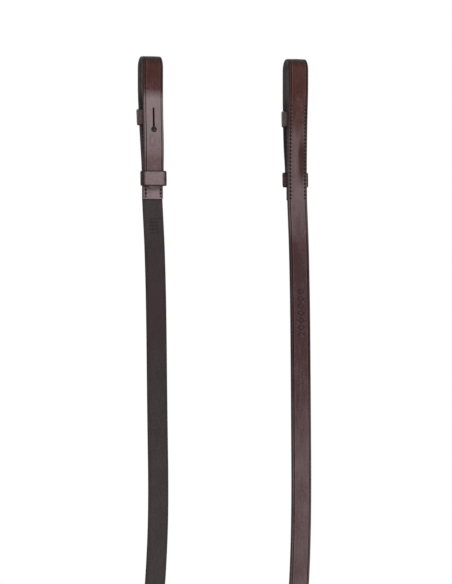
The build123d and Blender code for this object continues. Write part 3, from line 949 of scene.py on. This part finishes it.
@dataclass
class BitEnd:
    """One rein's bit end: loop, billet, lining, keepers, hook stud and stitching."""

    side: Side
    finishes: Finishes
    section: Section = Section()
    loop_radius: float = 6.25 * MM
    rise: float = 6 * MM
    drop: float = 18 * MM
    slope: float = 7.2163
    upper_radius: float = 128.46 * MM
    lower_radius: float = 173.42 * MM
    upper_tangent: float = 8.1 * MM
    lower_tangent: float = 10.935 * MM
    slope_run: float = 62.495 * MM
    sewn_end: float = -104.3 * MM
    spread_low: float = -80 * MM
    lining_top: float = -27 * MM
    lining_thickness: float = 1.8 * MM
    keeper_shift: float = 1.0 * MM
    keeper_thickness: float = 1.8 * MM
    keeper_corner: float = 2.6 * MM
    stitch_inset: float = 1.85 * MM

    def build(self) -> float:
        """Make and dress every piece of the bit end.

        Returns:
            Length of the strap from the billet's root to the sewn end, in metres.
        """
        length = self.loop()
        self.billet()
        self.lining()
        # Each keeper's last pair is its painted sheen on the face and on the sides.
        self.keeper("upper_keeper", 5.95 * MM, -32.7 * MM, 13 * MM, 8.3 * MM, (0.3, 0.3))
        self.keeper("lower_keeper", 9.15 * MM, -82 * MM, 12 * MM, 8.7 * MM, (0.82, 0.03))
        self.stitching()
        stud = frame["nodes"][f"{self.side.value}_hook_stud"]
        stud.data.materials.clear()
        stud.data.materials.append(self.finishes.steel)
        return length

    def _name(self, part: str) -> str:
        """A piece's name on this rein."""
        return f"{self.side.value}_{part}_leather"

    def _dress(self, piece: bpy.types.Object, node: str, slot: str) -> bpy.types.Object:
        """Let a piece stand for its node and lean it as the bit end hangs."""
        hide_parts(f"{self.side.value}_{node}")
        LOG.info("%s stands for %s", piece.name, node)
        return settle(piece)

    def loop(self) -> float:
        """The strap over the bit loop and down the sewn length.

        Returns:
            Its length in metres.
        """
        middle = self.section.thickness / 2
        start = Matrix(((1, 0, 0, 0), (0, 1, 0, self.loop_radius + middle), (0, 0, 1, -self.rise), (0, 0, 0, 1)))
        sweep = Sweep(self.section, start)
        sweep.run(self.rise, 3).bend(180, self.loop_radius + middle, 30)
        sweep.run(self.drop - self.upper_tangent, 4)
        sweep.bend(self.slope, self.upper_radius + middle, 6)
        sweep.run(self.slope_run - self.upper_tangent - self.lower_tangent, 14)
        sweep.bend(-self.slope, self.lower_radius - middle, 8)
        sweep.run(sweep.frame.translation.z - self.sewn_end, 6)
        grain = LOOP_GRAIN[self.side].build()
        # Paler flesh inside the loop: a painted highlight near the top, then painted shade further down.
        flesh = FleshLeather(
            f"{self.side.value}_loop_flesh", pale=(0.12, 0.11, 0.105), tone_and_painted_light=((0.0, 0.85), (46.0, 0.8), (60.0, 0.3), (140.0, 0.3))
        ).build()
        piece = piece_from(sweep.close(), self._name("bit_end"), [grain, flesh], self.side.place)
        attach(self._dress(piece, "bit_end", "rein_leather"), "reins")
        return sweep.along

    def billet(self) -> None:
        """The turned-back strap end with its keyhole."""
        middle = self.section.thickness / 2
        start = Matrix(((-1, 0, 0, 0), (0, 1, 0, self.loop_radius + middle), (0, 0, -1, -self.rise), (0, 0, 0, 1)))
        sweep = Sweep(self.section, start, way=-1)
        sweep.run((56.0 - 8.181) * MM, 16)
        sweep.bend(8.063, 116.07 * MM + middle, 6)
        sweep.run((18.18 - 8.181 - 7.47) * MM, 1)
        sweep.bend(-8.063, 105.99 * MM - middle, 6)
        sweep.run(sweep.frame.translation.z + (96.6 - 6.5) * MM, 3)
        sweep.tip(self.section.width / 2, 6.5 * MM)
        grain = BILLET_GRAIN[self.side].build()
        # Paler flesh where the billet lines the loop: a painted highlight near the top, then painted shade further
        # down.
        flesh = FleshLeather(
            f"{self.side.value}_billet_flesh", way=-1, pale=(0.12, 0.11, 0.105),
            tone_and_painted_light=((0.0, 0.85), (12.0, 0.8), (34.0, 0.25), (100.0, 0.3)),
        ).build()
        piece = piece_from(sweep.close(), self._name("billet"), [grain, flesh])
        self._keyhole(piece)
        piece.data.transform(self.side.place)
        self._dress(piece, "billet", "rein_leather")
        top, low = (self.side.place @ Vector((0, 8 * MM, z * MM)) for z in (-6.0, -25))
        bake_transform(piece)

    def _keyhole(self, piece: bpy.types.Object) -> None:
        """Cut the round hole and the slit above it, with the slit a little open."""
        hole = bmesh.new()
        face_on = Matrix.Translation((0, 8 * MM, -49.2 * MM)) @ Matrix.Rotation(math.pi / 2, 4, "X")
        bmesh.ops.create_cone(
            hole, cap_ends=True, segments=28, radius1=2.3 * MM, radius2=2.3 * MM, depth=12 * MM, matrix=face_on
        )
        cut_out(piece, hole)
        slit = bmesh.new()
        long = Matrix.Translation((0, 8 * MM, -40.4 * MM)) @ Matrix.Diagonal((1.8 * MM, 12 * MM, 17 * MM, 1))
        box = bmesh.ops.create_cube(slit, size=1.0, matrix=long)
        top = [vert for vert in box["verts"] if vert.co.z > -40 * MM]
        bmesh.ops.scale(slit, vec=(0.8, 1, 1), verts=top)
        cut_out(piece, slit)

    def lining(self) -> None:
        """The strip sewn behind the strap along the sewn length."""
        section = Section(thickness=self.lining_thickness, crease_depth=0.05 * MM, crown=0.0)
        lean = math.radians(self.slope)
        past = (-self.drop - self.lining_top) / math.cos(lean)
        base = Vector((0, -self.loop_radius + past * math.sin(lean), self.lining_top))
        along = Vector((0, math.sin(lean), -math.cos(lean)))
        inward = Vector((0, math.cos(lean), math.sin(lean)))
        origin = base + inward * self.lining_thickness / 2
        start = Matrix((Vector((-1, 0, 0)), inward, along)).transposed().to_4x4()
        start.translation = origin
        sweep = Sweep(section, start)
        sweep.run(self.slope_run - past - self.lower_tangent, 12)
        sweep.bend(self.slope, self.lower_radius + self.lining_thickness / 2, 8)
        sweep.run(sweep.frame.translation.z - self.sewn_end, 6)
        grain = LINING_FACE[self.side].build()
        piece = piece_from(sweep.close(), self._name("lining"), [grain], self.side.place)
        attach(self._dress(piece, "lining", "lining_leather"), "reins")

    def keeper(
        self, part: str, front: float, top: float, length: float, inside: float, tones: tuple[float, float]
    ) -> None:
        """A leather band whose ends are sewn under the lining.

        Args:
            part: the node's name without its side.
            front: how far out its face reaches, in metres.
            top: height of its upper edge.
            length: its length down the rein.
            inside: half its inner width.
            tones: shares of painted sheen on its face and on its sides; the lower share on the sides paints shade.
        """
        half = inside + self.keeper_thickness / 2
        seat = self._flesh_y(top - length / 2) + 0.5 * MM
        middle = Vector((4.0 * MM, seat, top - length / 2))
        start = Matrix(((0, 0, 1, middle.x), (0, -1, 0, middle.y), (1, 0, 0, middle.z), (0, 0, 0, 1)))
        sweep = Sweep(BandSection(length, self.keeper_thickness), start)
        corner = self.keeper_corner
        sweep.run(half - corner * 0.6 - middle.x, 3)
        sweep.bend(90, corner * 0.6, 6)
        sweep.run(front - self.keeper_thickness / 2 - corner - sweep.frame.translation.y, 4)
        sweep.bend(90, corner, 8).run(2 * (half - corner), 14).bend(90, corner, 8)
        sweep.run(sweep.frame.translation.y - seat - corner * 0.6, 4)
        sweep.bend(90, corner * 0.6, 6)
        sweep.run(half - corner * 0.6 - middle.x, 3)
        bm = sweep.close()
        self._seat_keeper(bm, front, top - length / 2)
        shift = self.keeper_shift if part == "upper_keeper" else 0.0
        sideways = -shift if self.side is Side.RIGHT else shift
        bmesh.ops.translate(bm, vec=(sideways, 0, 0), verts=bm.verts)
        grain = keeper_grain(f"{self.side.value}_{part}_grain", sweep.along / MM, length / MM, *tones).build()
        piece = piece_from(bm, self._name(part), [grain], self.side.place)
        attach(self._dress(piece, part, "keeper_leather"), "reins")

    def _seat_keeper(self, bm: bmesh.types.BMesh, front: float, middle: float) -> None:
        """Lean the keeper's sewn ends with the strap and ease its front."""
        seat = self._flesh_y(middle)
        for vert in bm.verts:
            share = min(1.0, max(0.0, (front - vert.co.y) / (front - seat)))
            lean = self._flesh_y(vert.co.z) - seat
            vert.co.y += lean * share * share
            puff = noise.noise(vert.co * 90.0) * 0.22 * MM
            vert.co.y += puff * (1 - share)

    def _flesh_y(self, z: float) -> float:
        """Y of the strap's flesh side at a height on the sewn length."""
        low = -self.drop - self.slope_run * math.cos(math.radians(self.slope))
        share = min(1.0, max(0.0, (-self.drop - z) / (-self.drop - low)))
        return -self.loop_radius + share * 7.85 * MM

    def stitching(self) -> None:
        """Two rows of stitches on the strap's grain side and two on the lining."""
        bm = bmesh.new()
        stitches = Stitches()
        count = int((self.lining_top - self.sewn_end) / stitches.pitch)
        frames = [self._sewn_frame(self.lining_top - (step + 0.5) * stitches.pitch) for step in range(count)]
        row = self.section.width / 2 - self.stitch_inset
        outside = self.section.thickness - 0.28 * MM
        inside = -self.lining_thickness + 0.02 * MM
        for across in (-row, row):
            stitches.sew(bm, frames, across, outside)
            stitches.sew(bm, frames, across, inside)
        piece = piece_from(bm, f"{self.side.value}_stitches", [self.finishes.thread], self.side.place)
        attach(self._dress(piece, "bit_stitching", "thread"), "reins")

    def _sewn_frame(self, z: float) -> Matrix:
        """Frame on the flesh side at a height: y out of the grain side, z down the rein."""
        step = 0.5 * MM
        along = Vector((0, self._smooth_flesh(z - step) - self._smooth_flesh(z + step), -2 * step)).normalized()
        across = Vector((1, 0, 0))
        made = Matrix((across, along.cross(across), along)).transposed().to_4x4()
        made.translation = Vector((0, self._smooth_flesh(z), z))
        return made

    def _smooth_flesh(self, z: float) -> float:
        """Y of the flesh side with its lower bend rounded."""
        reach = self.lower_tangent
        if abs(z - self.spread_low) > reach:
            return self._flesh_y(z)
        into = self.spread_low + reach - z
        slope = math.tan(math.radians(self.slope))
        return self._flesh_y(self.spread_low + reach) + slope * (into - into * into / (4 * reach))


@dataclass
class ReinStrap:
    """The free strap of one rein: it hangs, then lies round the coil up to the middle buckle."""

    side: Side
    hang: tuple[tuple[float, float, float], ...]
    end: float
    inside_x: float
    inside_angle: float
    length: float
    section: Section = Section()
    entry: float = 50.0
    loop_step: float = 20.0
    ease_before_end: float = 20.0

    def route(self) -> list[Vector]:
        """The strap's control points in the pair's frame: the hanging part, then the coil's loops."""
        points = [self.side.place @ (Vector(point) * MM) for point in self.hang]
        sign = 1 if self.side is Side.LEFT else -1
        out = self.drum_radius()
        first, last = self.entry + self.loop_step, self.end - self.loop_step / 2
        count = round((last - first) / self.loop_step)
        for step in range(count + 1):
            angle = first + (last - first) * step / count
            points.append(DRUM.point(sign * angle, out - DRUM.radius, self._across(angle)))
        points.append(DRUM.point(sign * self.end))
        return points

    def drum_radius(self) -> float:
        """Radius of the control points whose smooth line lies on the drum."""
        return DRUM.radius / math.cos(math.radians(self.loop_step / 2))

    def _across(self, angle: float) -> float:
        """Place of a turn along the coil at an angle wound so far."""
        sign = -1 if self.side is Side.LEFT else 1
        outer, inner = REIN_SPACING / 2, self.inside_x
        if angle < self.inside_angle:
            share = (angle - self.entry) / (self.inside_angle - self.entry)
            return sign * (outer + (inner - outer) * share)
        share = (angle - self.inside_angle) / (self.end - self.ease_before_end - self.inside_angle)
        return sign * inner * max(0.0, 1 - share)

    def line(self) -> list[Vector]:
        """Points read from the route's smooth spline."""
        points = self.route()
        curve = bpy.data.curves.new("route", "CURVE")
        curve.dimensions = "3D"
        spline = curve.splines.new("NURBS")
        spline.points.add(len(points) - 1)
        for made, point in zip(spline.points, points):
            made.co = (*point, 1.0)
        spline.order_u = 3
        spline.use_endpoint_u = True
        spline.resolution_u = 9
        carrier = bpy.data.objects.new("route", curve)
        bpy.context.scene.collection.objects.link(carrier)
        bpy.context.view_layer.update()
        evaluated = carrier.evaluated_get(bpy.context.evaluated_depsgraph_get())
        mesh = bpy.data.meshes.new_from_object(evaluated)
        line = [vert.co.copy() for vert in mesh.vertices]
        bpy.data.meshes.remove(mesh)
        bpy.data.objects.remove(carrier)
        bpy.data.curves.remove(curve)
        return [line[0]] + [b for a, b in zip(line, line[1:]) if (b - a).length > 1e-6]

    def frames(self, line: list[Vector]) -> list[Matrix]:
        """Frame of each point, with the strap lying flat on the drum.

        Args:
            line: points of the strap's middle.

        Returns:
            One frame for each point.
        """
        across = Vector((1, 0, 0)) if self.side is Side.RIGHT else Vector((-1, 0, 0))
        made = []
        for index, point in enumerate(line):
            before, after = line[max(index - 1, 0)], line[min(index + 1, len(line) - 1)]
            along = (after - before).normalized()
            if index == 0:
                along = Vector((0, 0, -1))
            wide = (across - along * across.dot(along)).normalized()
            here = Matrix((wide, along.cross(wide), along)).transposed().to_4x4()
            here.translation = point
            made.append(here)
        return made

    def build(self, sewn: float, ties: list[bpy.types.Object]) -> None:
        """Args:
            sewn: length of the strap above the sewn end, in metres.
            ties: the tapes round the coil, for the rein that they are listed with; not used.
        """
        line = self.line()
        frames = self.frames(line)
        sweep = Sweep(self.section, frames[0], sewn)
        for here in frames[1:]:
            sweep.advance(here)
        zero = sewn / MM
        grain = replace(STRAND_GRAIN[self.side], zero=zero).build()
        flesh = replace(STRAND_FLESH[self.side], zero=zero).build()
        label = self.side.value
        piece = piece_from(sweep.close(), f"{label}_rein_leather", [grain, flesh])
        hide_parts(f"{label}_rein_strap", f"{label}_rein_coil")
        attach(piece, "reins")
        LOG.info("%s: %.1f mm of strap", piece.name, sweep.along / MM)


@dataclass
class CoilTie:
    """A cotton tape tied round every turn of the coil at one place."""

    node: str
    angle: float
    finish: bpy.types.Material
    width: float = 14 * MM
    thickness: float = 0.8 * MM
    ends: tuple[float, float] = (-64.5 * MM, 59.5 * MM)
    lift: float = 2.3 * MM

    def build(self) -> bpy.types.Object:
        """Make the tape with its flat knot.

        Returns:
            The tape's piece.
        """
        straight = self.ends[1] - self.ends[0] - 2 * MM
        at = DRUM.reach(self.angle)
        start = Matrix(((0, 0, 1, self.ends[0] + MM), (1, 0, 0, at), (0, 1, 0, self.lift), (0, 0, 0, 1)))
        sweep = Sweep(BandSection(self.width, self.thickness, 0.12 * MM), start)
        sweep.run(straight, 40).bend(180, self.lift, 12).run(straight, 40).bend(180, self.lift, 11)
        bm = sweep.join()
        for vert in bm.verts:
            vert.co.z += noise.noise(vert.co * 60) * 0.15 * MM
        DRUM.wrap(bm)
        piece = piece_from(bm, f"{self.node}_tape", [self.finish])
        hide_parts(self.node)
        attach(piece, "reins")
        self._knot(at)
        return piece

    def _knot(self, at: float) -> None:
        """A flat overhand knot on the outside, with two short tails."""
        height = self.lift + self.thickness
        for index, (turn, length) in enumerate(((28, 24), (-31, 20))):
            start = Matrix.Translation((0, at, height + index * 0.5 * MM)) @ Matrix.Rotation(math.radians(turn), 4, "Z")
            flat = Matrix(((0, 0, 1, 0), (1, 0, 0, 0), (0, 1, 0, 0), (0, 0, 0, 1)))
            sweep = Sweep(BandSection(7 * MM, 0.8 * MM, 0.12 * MM), start @ flat)
            sweep.run(2 * MM, 1).bend(-18, 6 * MM, 3).bend(26, 14 * MM, 6).run(length * 0.5 * MM, 5).bend(-8, 40 * MM, 4)
            piece = piece_from(DRUM.wrap(sweep.close()), f"{self.node}_tail_{index + 1}", [self.finish])
            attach(piece, "reins")
        loop = Matrix.Translation((-3 * MM, at, height + 0.3 * MM)) @ Matrix(((1, 0, 0, 0), (0, 0, 1, -6.5 * MM), (0, 1, 0, 0.9 * MM), (0, 0, 0, 1)))
        sweep = Sweep(BandSection(7.5 * MM, 0.8 * MM, 0.12 * MM), Matrix.Translation((3 * MM, 0, 0)) @ loop)
        sweep.bend(-14, 8 * MM, 3).bend(28, 15 * MM, 8).bend(-14, 8 * MM, 3)
        piece = piece_from(DRUM.wrap(sweep.close()), f"{self.node}_knot", [self.finish])
        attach(piece, "reins")


@dataclass
class MiddleBuckle:
    """The buckle that joins the two reins on top of the coil."""

    finishes: Finishes
    section: Section = Section()
    start: float = -105.0
    stop: float = 45.0
    bar: float = -8.5
    chape_low: float = 5.8 * MM
    inner_share: float = 0.62
    over: float = 3.5 * MM
    keeper_half: float = 9.6 * MM

    def build(self) -> None:
        """Make and dress every piece of the buckle."""
        self.chape()
        self.point_end()
        self.fixed_keeper()
        self.running_keeper()
        self.stitching()
        for node in ("buckle_frame", "buckle_tongue"):
            metal = frame["nodes"][node]
            metal.data.materials.clear()
            metal.data.materials.append(self.finishes.steel)

    def _flat_frame(self, forward: int, angle: float, height: float) -> Matrix:
        """Frame on the flat layout that runs towards +Y or -Y with its grain side out."""
        return Matrix(
            ((-forward, 0, 0, 0), (0, 0, forward, DRUM.reach(angle)), (0, 1, 0, height), (0, 0, 0, 1))
        )

    def chape(self) -> None:
        """The left rein's end, turned round the bar and sewn under itself."""
        sweep = Sweep(self.section, self._flat_frame(1, self.start, 0.0))
        length = DRUM.reach(self.bar - self.start)
        sweep.run(length, 44)
        sweep.bend(180, self.chape_low / 2, 14, self.inner_share)
        sweep.run(1.5 * MM, 1).bend(14, 14 * MM, 4).run(5.2 * MM, 2).bend(-14, 14 * MM, 4)
        sweep.run(DRUM.reach(40.0), 14)
        bm = DRUM.wrap(sweep.close())
        grain = GrainLeather("chape_grain", tone_and_painted_light=((0.0, 0.12), (140.0, 0.2))).build()
        flesh = FleshLeather("chape_flesh").build()
        piece = piece_from(bm, "buckle_chape_leather", [grain, flesh])
        slot = bmesh.new()
        height = DRUM.point(self.bar, 0.0)
        box = Matrix.Translation(height) @ Matrix.Diagonal((4 * MM, 22 * MM, 20 * MM, 1))
        bmesh.ops.create_cube(slot, size=1.0, matrix=box)
        cut_out(piece, slot)
        self._dress(piece, "buckle_chape", "rein_leather", "reins")

    def point_end(self) -> None:
        """The right rein's end with its row of holes, through the buckle and over the chape."""
        sweep = Sweep(self.section, self._flat_frame(-1, self.stop, 0.0))
        climb = math.degrees(math.atan2(self.over, DRUM.reach(30)))
        sweep.run(DRUM.reach(6), 2).bend(-climb, 40 * MM, 5).run(DRUM.reach(26), 8).bend(climb, 40 * MM, 5)
        here = sweep.frame.translation.y
        tip = DRUM.reach(-100) + 6.5 * MM
        sweep.run(here - tip, 40)
        sweep.tip(self.section.width / 2, 6.5 * MM)
        bm = DRUM.wrap(sweep.close())
        grain = GrainLeather("point_grain", tone_and_painted_light=((0.0, 0.2), (160.0, 0.14))).build()
        flesh = FleshLeather("point_flesh").build()
        piece = piece_from(bm, "point_end_leather", [grain, flesh])
        holes = bmesh.new()
        # The hole in use is drawn out into a slot, which leaves the tongue room to lift.
        for angle, stretch in ((25, 1.9), (-5.8, 5.6), (-34, 1.9), (-62, 1.9)):
            out = DRUM.point(angle, 3 * MM)
            turn = Matrix.Rotation(math.radians(-angle), 4, "X")
            radius = 1.8 * MM if stretch < 2 else 1.6 * MM
            shape = Matrix.Translation(out) @ turn
            cone = bmesh.ops.create_cone(
                holes, cap_ends=True, segments=24, radius1=radius, radius2=radius, depth=12 * MM
            )
            for vert in cone["verts"]:
                if stretch < 2:
                    vert.co.y *= stretch
                else:
                    vert.co.y += math.copysign(radius * (stretch - 1), vert.co.y)
                vert.co = shape @ vert.co
        cut_out(piece, holes)
        self._dress(piece, "point_end", "rein_leather", "reins")

    def fixed_keeper(self) -> None:
        """The band sewn into the chape."""
        low, high = -2.0 * MM, 5.0 * MM + 1.45 * MM
        self._keeper_band("fixed_keeper", -26.0, low, high, False, "reins")

    def running_keeper(self) -> None:
        """The band that slides along both straps."""
        self._keeper_band("running_keeper", -81.0, -2.95 * MM, 6.45 * MM, True, "running_keeper")

    def _keeper_band(self, node: str, angle: float, low: float, high: float, closed: bool, body: str) -> None:
        """A keeper laid flat, then wrapped on to the coil.

        Args:
            node: the node that it stands for.
            angle: its middle, in degrees from the top.
            low: height of its inner run's middle.
            high: height of its outer run's middle.
            closed: whether it goes all the way round.
            body: the body that it rides on.
        """
        corner, half = 1.9 * MM, self.keeper_half
        width = DRUM.reach(10)
        reach = 0.0 if closed else 4 * MM
        start = Matrix(((0, 0, 1, reach), (-1, 0, 0, DRUM.reach(angle)), (0, -1, 0, low), (0, 0, 0, 1)))
        sweep = Sweep(BandSection(width, 1.8 * MM), start)
        sweep.run(half - corner - reach, 4).bend(90, corner, 7).run(high - low - 2 * corner, 4)
        sweep.bend(90, corner, 7).run(2 * (half - corner), 12).bend(90, corner, 7)
        sweep.run(high - low - 2 * corner, 4).bend(90, corner, 7)
        if closed:
            sweep.run(half - corner - 0.8 * MM, 4)
            bm = sweep.join()
        else:
            sweep.run(half - corner - reach, 4)
            bm = sweep.close()
        # Painted sheen on the face and painted shade on the sides, as on the bit ends' keepers.
        grain = keeper_grain(f"{node}_grain", sweep.along / MM, width / MM, 0.35, 0.2).build()
        piece = piece_from(DRUM.wrap(bm), f"{node}_leather", [grain])
        self._dress(piece, node, "keeper_leather", body)

    def stitching(self) -> None:
        """Two rows of stitches through the chape, on both faces."""
        bm = bmesh.new()
        stitches = Stitches()
        row = self.section.width / 2 - 1.85 * MM
        angles = [-30.0 - 3.576 * step for step in range(10)]
        for height, keep in ((-3.62 * MM, angles), (1.42 * MM, angles)):
            frames = []
            for angle in keep:
                turn = Matrix.Rotation(math.radians(-angle), 4, "X")
                spot = Matrix.Translation(DRUM.point(angle, height)) @ turn
                frames.append(spot @ Matrix(((1, 0, 0, 0), (0, 0, 1, 0), (0, 1, 0, 0), (0, 0, 0, 1))))
            for across in (-row, row):
                stitches.sew(bm, frames, across, 0.0)
        piece = piece_from(bm, "chape_stitches", [self.finishes.thread])
        self._dress(piece, "chape_stitching", "thread", "reins")

    def _dress(self, piece: bpy.types.Object, node: str, slot: str, body: str) -> None:
        """Let a piece stand for its node and ride on its body."""
        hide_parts(node)
        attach(piece, body)
        LOG.info("%s stands for %s", piece.name, node)


@dataclass
class Studio:
    """Pale floor, soft lights and the camera."""

    azimuth: float = -16.0
    distance: float = 2.8
    target: tuple[float, float, float] = (0.0, -7.85 * MM, -178.5 * MM)
    frame_height: float = 467.2 * MM
    floor_z: float = -0.6
    floor_radius: float = 1.8

    def build(self) -> None:
        """Make the floor, the lights and the camera."""
        self.floor()
        self.sky()
        self.light("key", (1.6, -1.6, 0.7), 1.3, 26.0)
        self.light("front", (0.5, -2.4, -0.6), 1.1, 9.0)
        self.light("fill", (-1.9, -0.9, 0.3), 1.2, 8.0)
        self.light("back", (0.4, 2.0, 0.6), 1.4, 14.0)
        self.camera()

    def floor(self) -> None:
        """A pale round floor under the coil."""
        bm = bmesh.new()
        bmesh.ops.create_circle(
            bm, cap_ends=True, segments=96, radius=self.floor_radius, matrix=Matrix.Translation((0, 0, self.floor_z))
        )
        graph = Graph("pale_floor")
        cloud = graph.noise(graph.place(), 0.004, 2.0)
        colour = graph.blend(cloud, (0.8, 0.79, 0.77), (0.86, 0.855, 0.84))
        floor = piece_from(bm, "floor", [graph.finish(colour, 0.7)])

    def sky(self) -> None:
        """A white surround, dimmer as a light than as a backdrop."""
        world = bpy.data.worlds.new("surround")
        world.use_nodes = True
        tree = world.node_tree
        tree.nodes.clear()
        seen, lit = tree.nodes.new("ShaderNodeBackground"), tree.nodes.new("ShaderNodeBackground")
        seen.inputs["Strength"].default_value = 1.0
        seen.inputs["Color"].default_value = (1.0, 1.0, 1.0, 1.0)
        lit.inputs["Strength"].default_value = 0.55
        path, mix = tree.nodes.new("ShaderNodeLightPath"), tree.nodes.new("ShaderNodeMixShader")
        out = tree.nodes.new("ShaderNodeOutputWorld")
        tree.links.new(path.outputs["Is Camera Ray"], mix.inputs[0])
        tree.links.new(lit.outputs[0], mix.inputs[1])
        tree.links.new(seen.outputs[0], mix.inputs[2])
        tree.links.new(mix.outputs[0], out.inputs[0])
        bpy.context.scene.world = world
        bpy.context.scene.view_settings.view_transform = "Standard"

    def light(self, name: str, place: Colour, size: float, power: float) -> None:
        """A square soft light aimed at the middle of the reins.

        Args:
            name: the light's name.
            place: where it stands, in metres.
            size: length of its side.
            power: its power in watts.
        """
        data = bpy.data.lights.new(name, "AREA")
        data.shape, data.size, data.energy = "SQUARE", size, power
        lamp = bpy.data.objects.new(name, data)
        lamp.location = place
        aim = Vector((0, 0, -0.25)) - Vector(place)
        lamp.rotation_euler = aim.to_track_quat("-Z", "Y").to_euler()
        bpy.context.scene.collection.objects.link(lamp)

    def camera(self) -> None:
        """A long lens, level with the bit ends and a little to their left."""
        data = bpy.data.cameras.new("camera")
        data.sensor_width = 36.0
        data.lens = data.sensor_width * self.distance / self.frame_height
        data.clip_end = 20.0
        camera = bpy.data.objects.new("camera", data)
        turn = math.radians(self.azimuth)
        back = Vector((math.sin(turn), -math.cos(turn), 0))
        camera.location = Vector(self.target) + back * self.distance
        camera.rotation_euler = (-back).to_track_quat("-Z", "Y").to_euler()
        bpy.context.scene.collection.objects.link(camera)
        bpy.context.scene.camera = camera


# Stops of painted sheen along each piece; the loops also carry a painted shade band over their tops, and the right loop
# a painted shadow patch.
LOOP_GRAIN = {
    Side.RIGHT: GrainLeather(
        "right_loop_grain",
        tone_and_painted_light=(
            (0.0, 0.0), (40.0, 0.0), (50.0, 0.06), (72.0, 0.08), (86.0, 0.36), (106.0, 0.38),
            (116.0, 0.34), (126.0, 0.46), (140.0, 0.38),
        ),
        stitched=(59.4, 134.6), shade=(3.6, 103.0, 3.6, 19.0), crown=(18.3, 7.3),
    ),
    Side.LEFT: GrainLeather(
        "left_loop_grain", tone_and_painted_light=((0.0, 0.0), (40.0, 0.1), (140.0, 0.2)), stitched=(59.4, 134.6), crown=(18.3, 7.3)
    ),
}
# The left billet carries a broad painted sheen below the loop.
BILLET_GRAIN = {
    Side.RIGHT: GrainLeather("right_billet_grain", way=-1, tone_and_painted_light=((0.0, 0.0), (30.0, 0.2), (100.0, 0.3))),
    Side.LEFT: GrainLeather(
        "left_billet_grain",
        way=-1, streaks=0.2, mottle=0.4, deepens=(200.0, 300.0),
        tone_and_painted_light=((0.0, 0.0), (11.0, 0.03), (19.0, 0.95), (38.0, 0.9), (58.0, 0.76), (68.0, 0.36), (92.0, 0.4)),
        pressed=(1.2, 52.0, 2.6, 5.5),
    ),
}
# The left lining is paler and grows lighter towards its lower end: a painted sheen.
LINING_FACE = {
    Side.RIGHT: FleshLeather("right_lining_face", tone_and_painted_light=((0.0, 0.6), (80.0, 0.6)), stitched=(1.5, 76.5)),
    Side.LEFT: FleshLeather(
        "left_lining_face", dark=(0.06, 0.045, 0.047), pale=(0.33, 0.24, 0.26),
        tone_and_painted_light=((0.0, 0.2), (60.0, 0.3), (68.0, 0.62), (80.0, 0.68)), mottle=0.6, stitched=(1.5, 76.5),
    ),
}
# The right strap's stops paint bands of sheen and shade down its hanging length.
STRAND_GRAIN = {
    Side.RIGHT: GrainLeather(
        "right_rein_grain",
        tone_and_painted_light=(
            (0.0, 0.37), (26.0, 0.26), (38.0, 0.0), (116.0, 0.02), (160.0, 0.08), (190.0, 0.28),
            (300.0, 0.35), (1300.0, 0.2),
        ),
        deepens=(-75.0, 15.0), lozenges=(71.0, 109.0),
    ),
    Side.LEFT: GrainLeather("left_rein_grain", tone_and_painted_light=((0.0, 0.2), (1300.0, 0.2)), deepens=(-75.0, 15.0)),
}
# The left strap's flesh grows lighter and darker along its length: painted light.
STRAND_FLESH = {
    Side.RIGHT: FleshLeather("right_rein_flesh"),
    Side.LEFT: FleshLeather(
        "left_rein_flesh",
        tone_and_painted_light=((0.0, 0.6), (24.0, 0.5), (40.0, 0.3), (120.0, 0.36), (200.0, 0.55), (310.0, 0.62), (1300.0, 0.45)),
        blush=(88.0, 62.0), bars=(15.8, 28.6),
    ),
}


def main() -> None:
    """Build the reins and the studio in order."""
    logging.basicConfig(level=logging.INFO, format="%(name)s: %(message)s")
    finishes = Finishes()
    sewn = {side: BitEnd(side, finishes).build() for side in Side}
    ties = [
        CoilTie("front_coil_tie", -135.0, finishes.tape, ends=(-59.5 * MM, 64.5 * MM)).build(),
        CoilTie("rear_coil_tie", 135.0, finishes.tape).build(),
    ]
    ReinStrap(
        Side.LEFT,
        hang=(
            (-1.5, 0, -104.3), (-2.4, 0, -122), (-3.6, 0, -145), (-4.9, 0, -195), (-5.6, 0, -270),
            (-6.9, 0, -350), (-4.5, 0, -405), (-0.8, 0, -445.7), (0, -36.8, -489.5),
        ),
        end=975.0, inside_x=21 * MM, inside_angle=765.0, length=1.175,
    ).build(sewn[Side.LEFT], ties)
    ReinStrap(
        Side.RIGHT,
        hang=(
            (1.5, 0, -104.3), (2.2, 0, -122), (3.1, 0, -145), (4.1, 0, -195), (4.7, 0, -270),
            (5.2, 0, -350), (3.8, 0, -405), (0.8, 0, -445.7), (0, -36.8, -489.5),
        ),
        end=1035.0, inside_x=21 * MM, inside_angle=825.0, length=1.225,
    ).build(sewn[Side.RIGHT], [])
    MiddleBuckle(finishes).build()
    Studio().build()


if __name__ == "__main__":
    main()
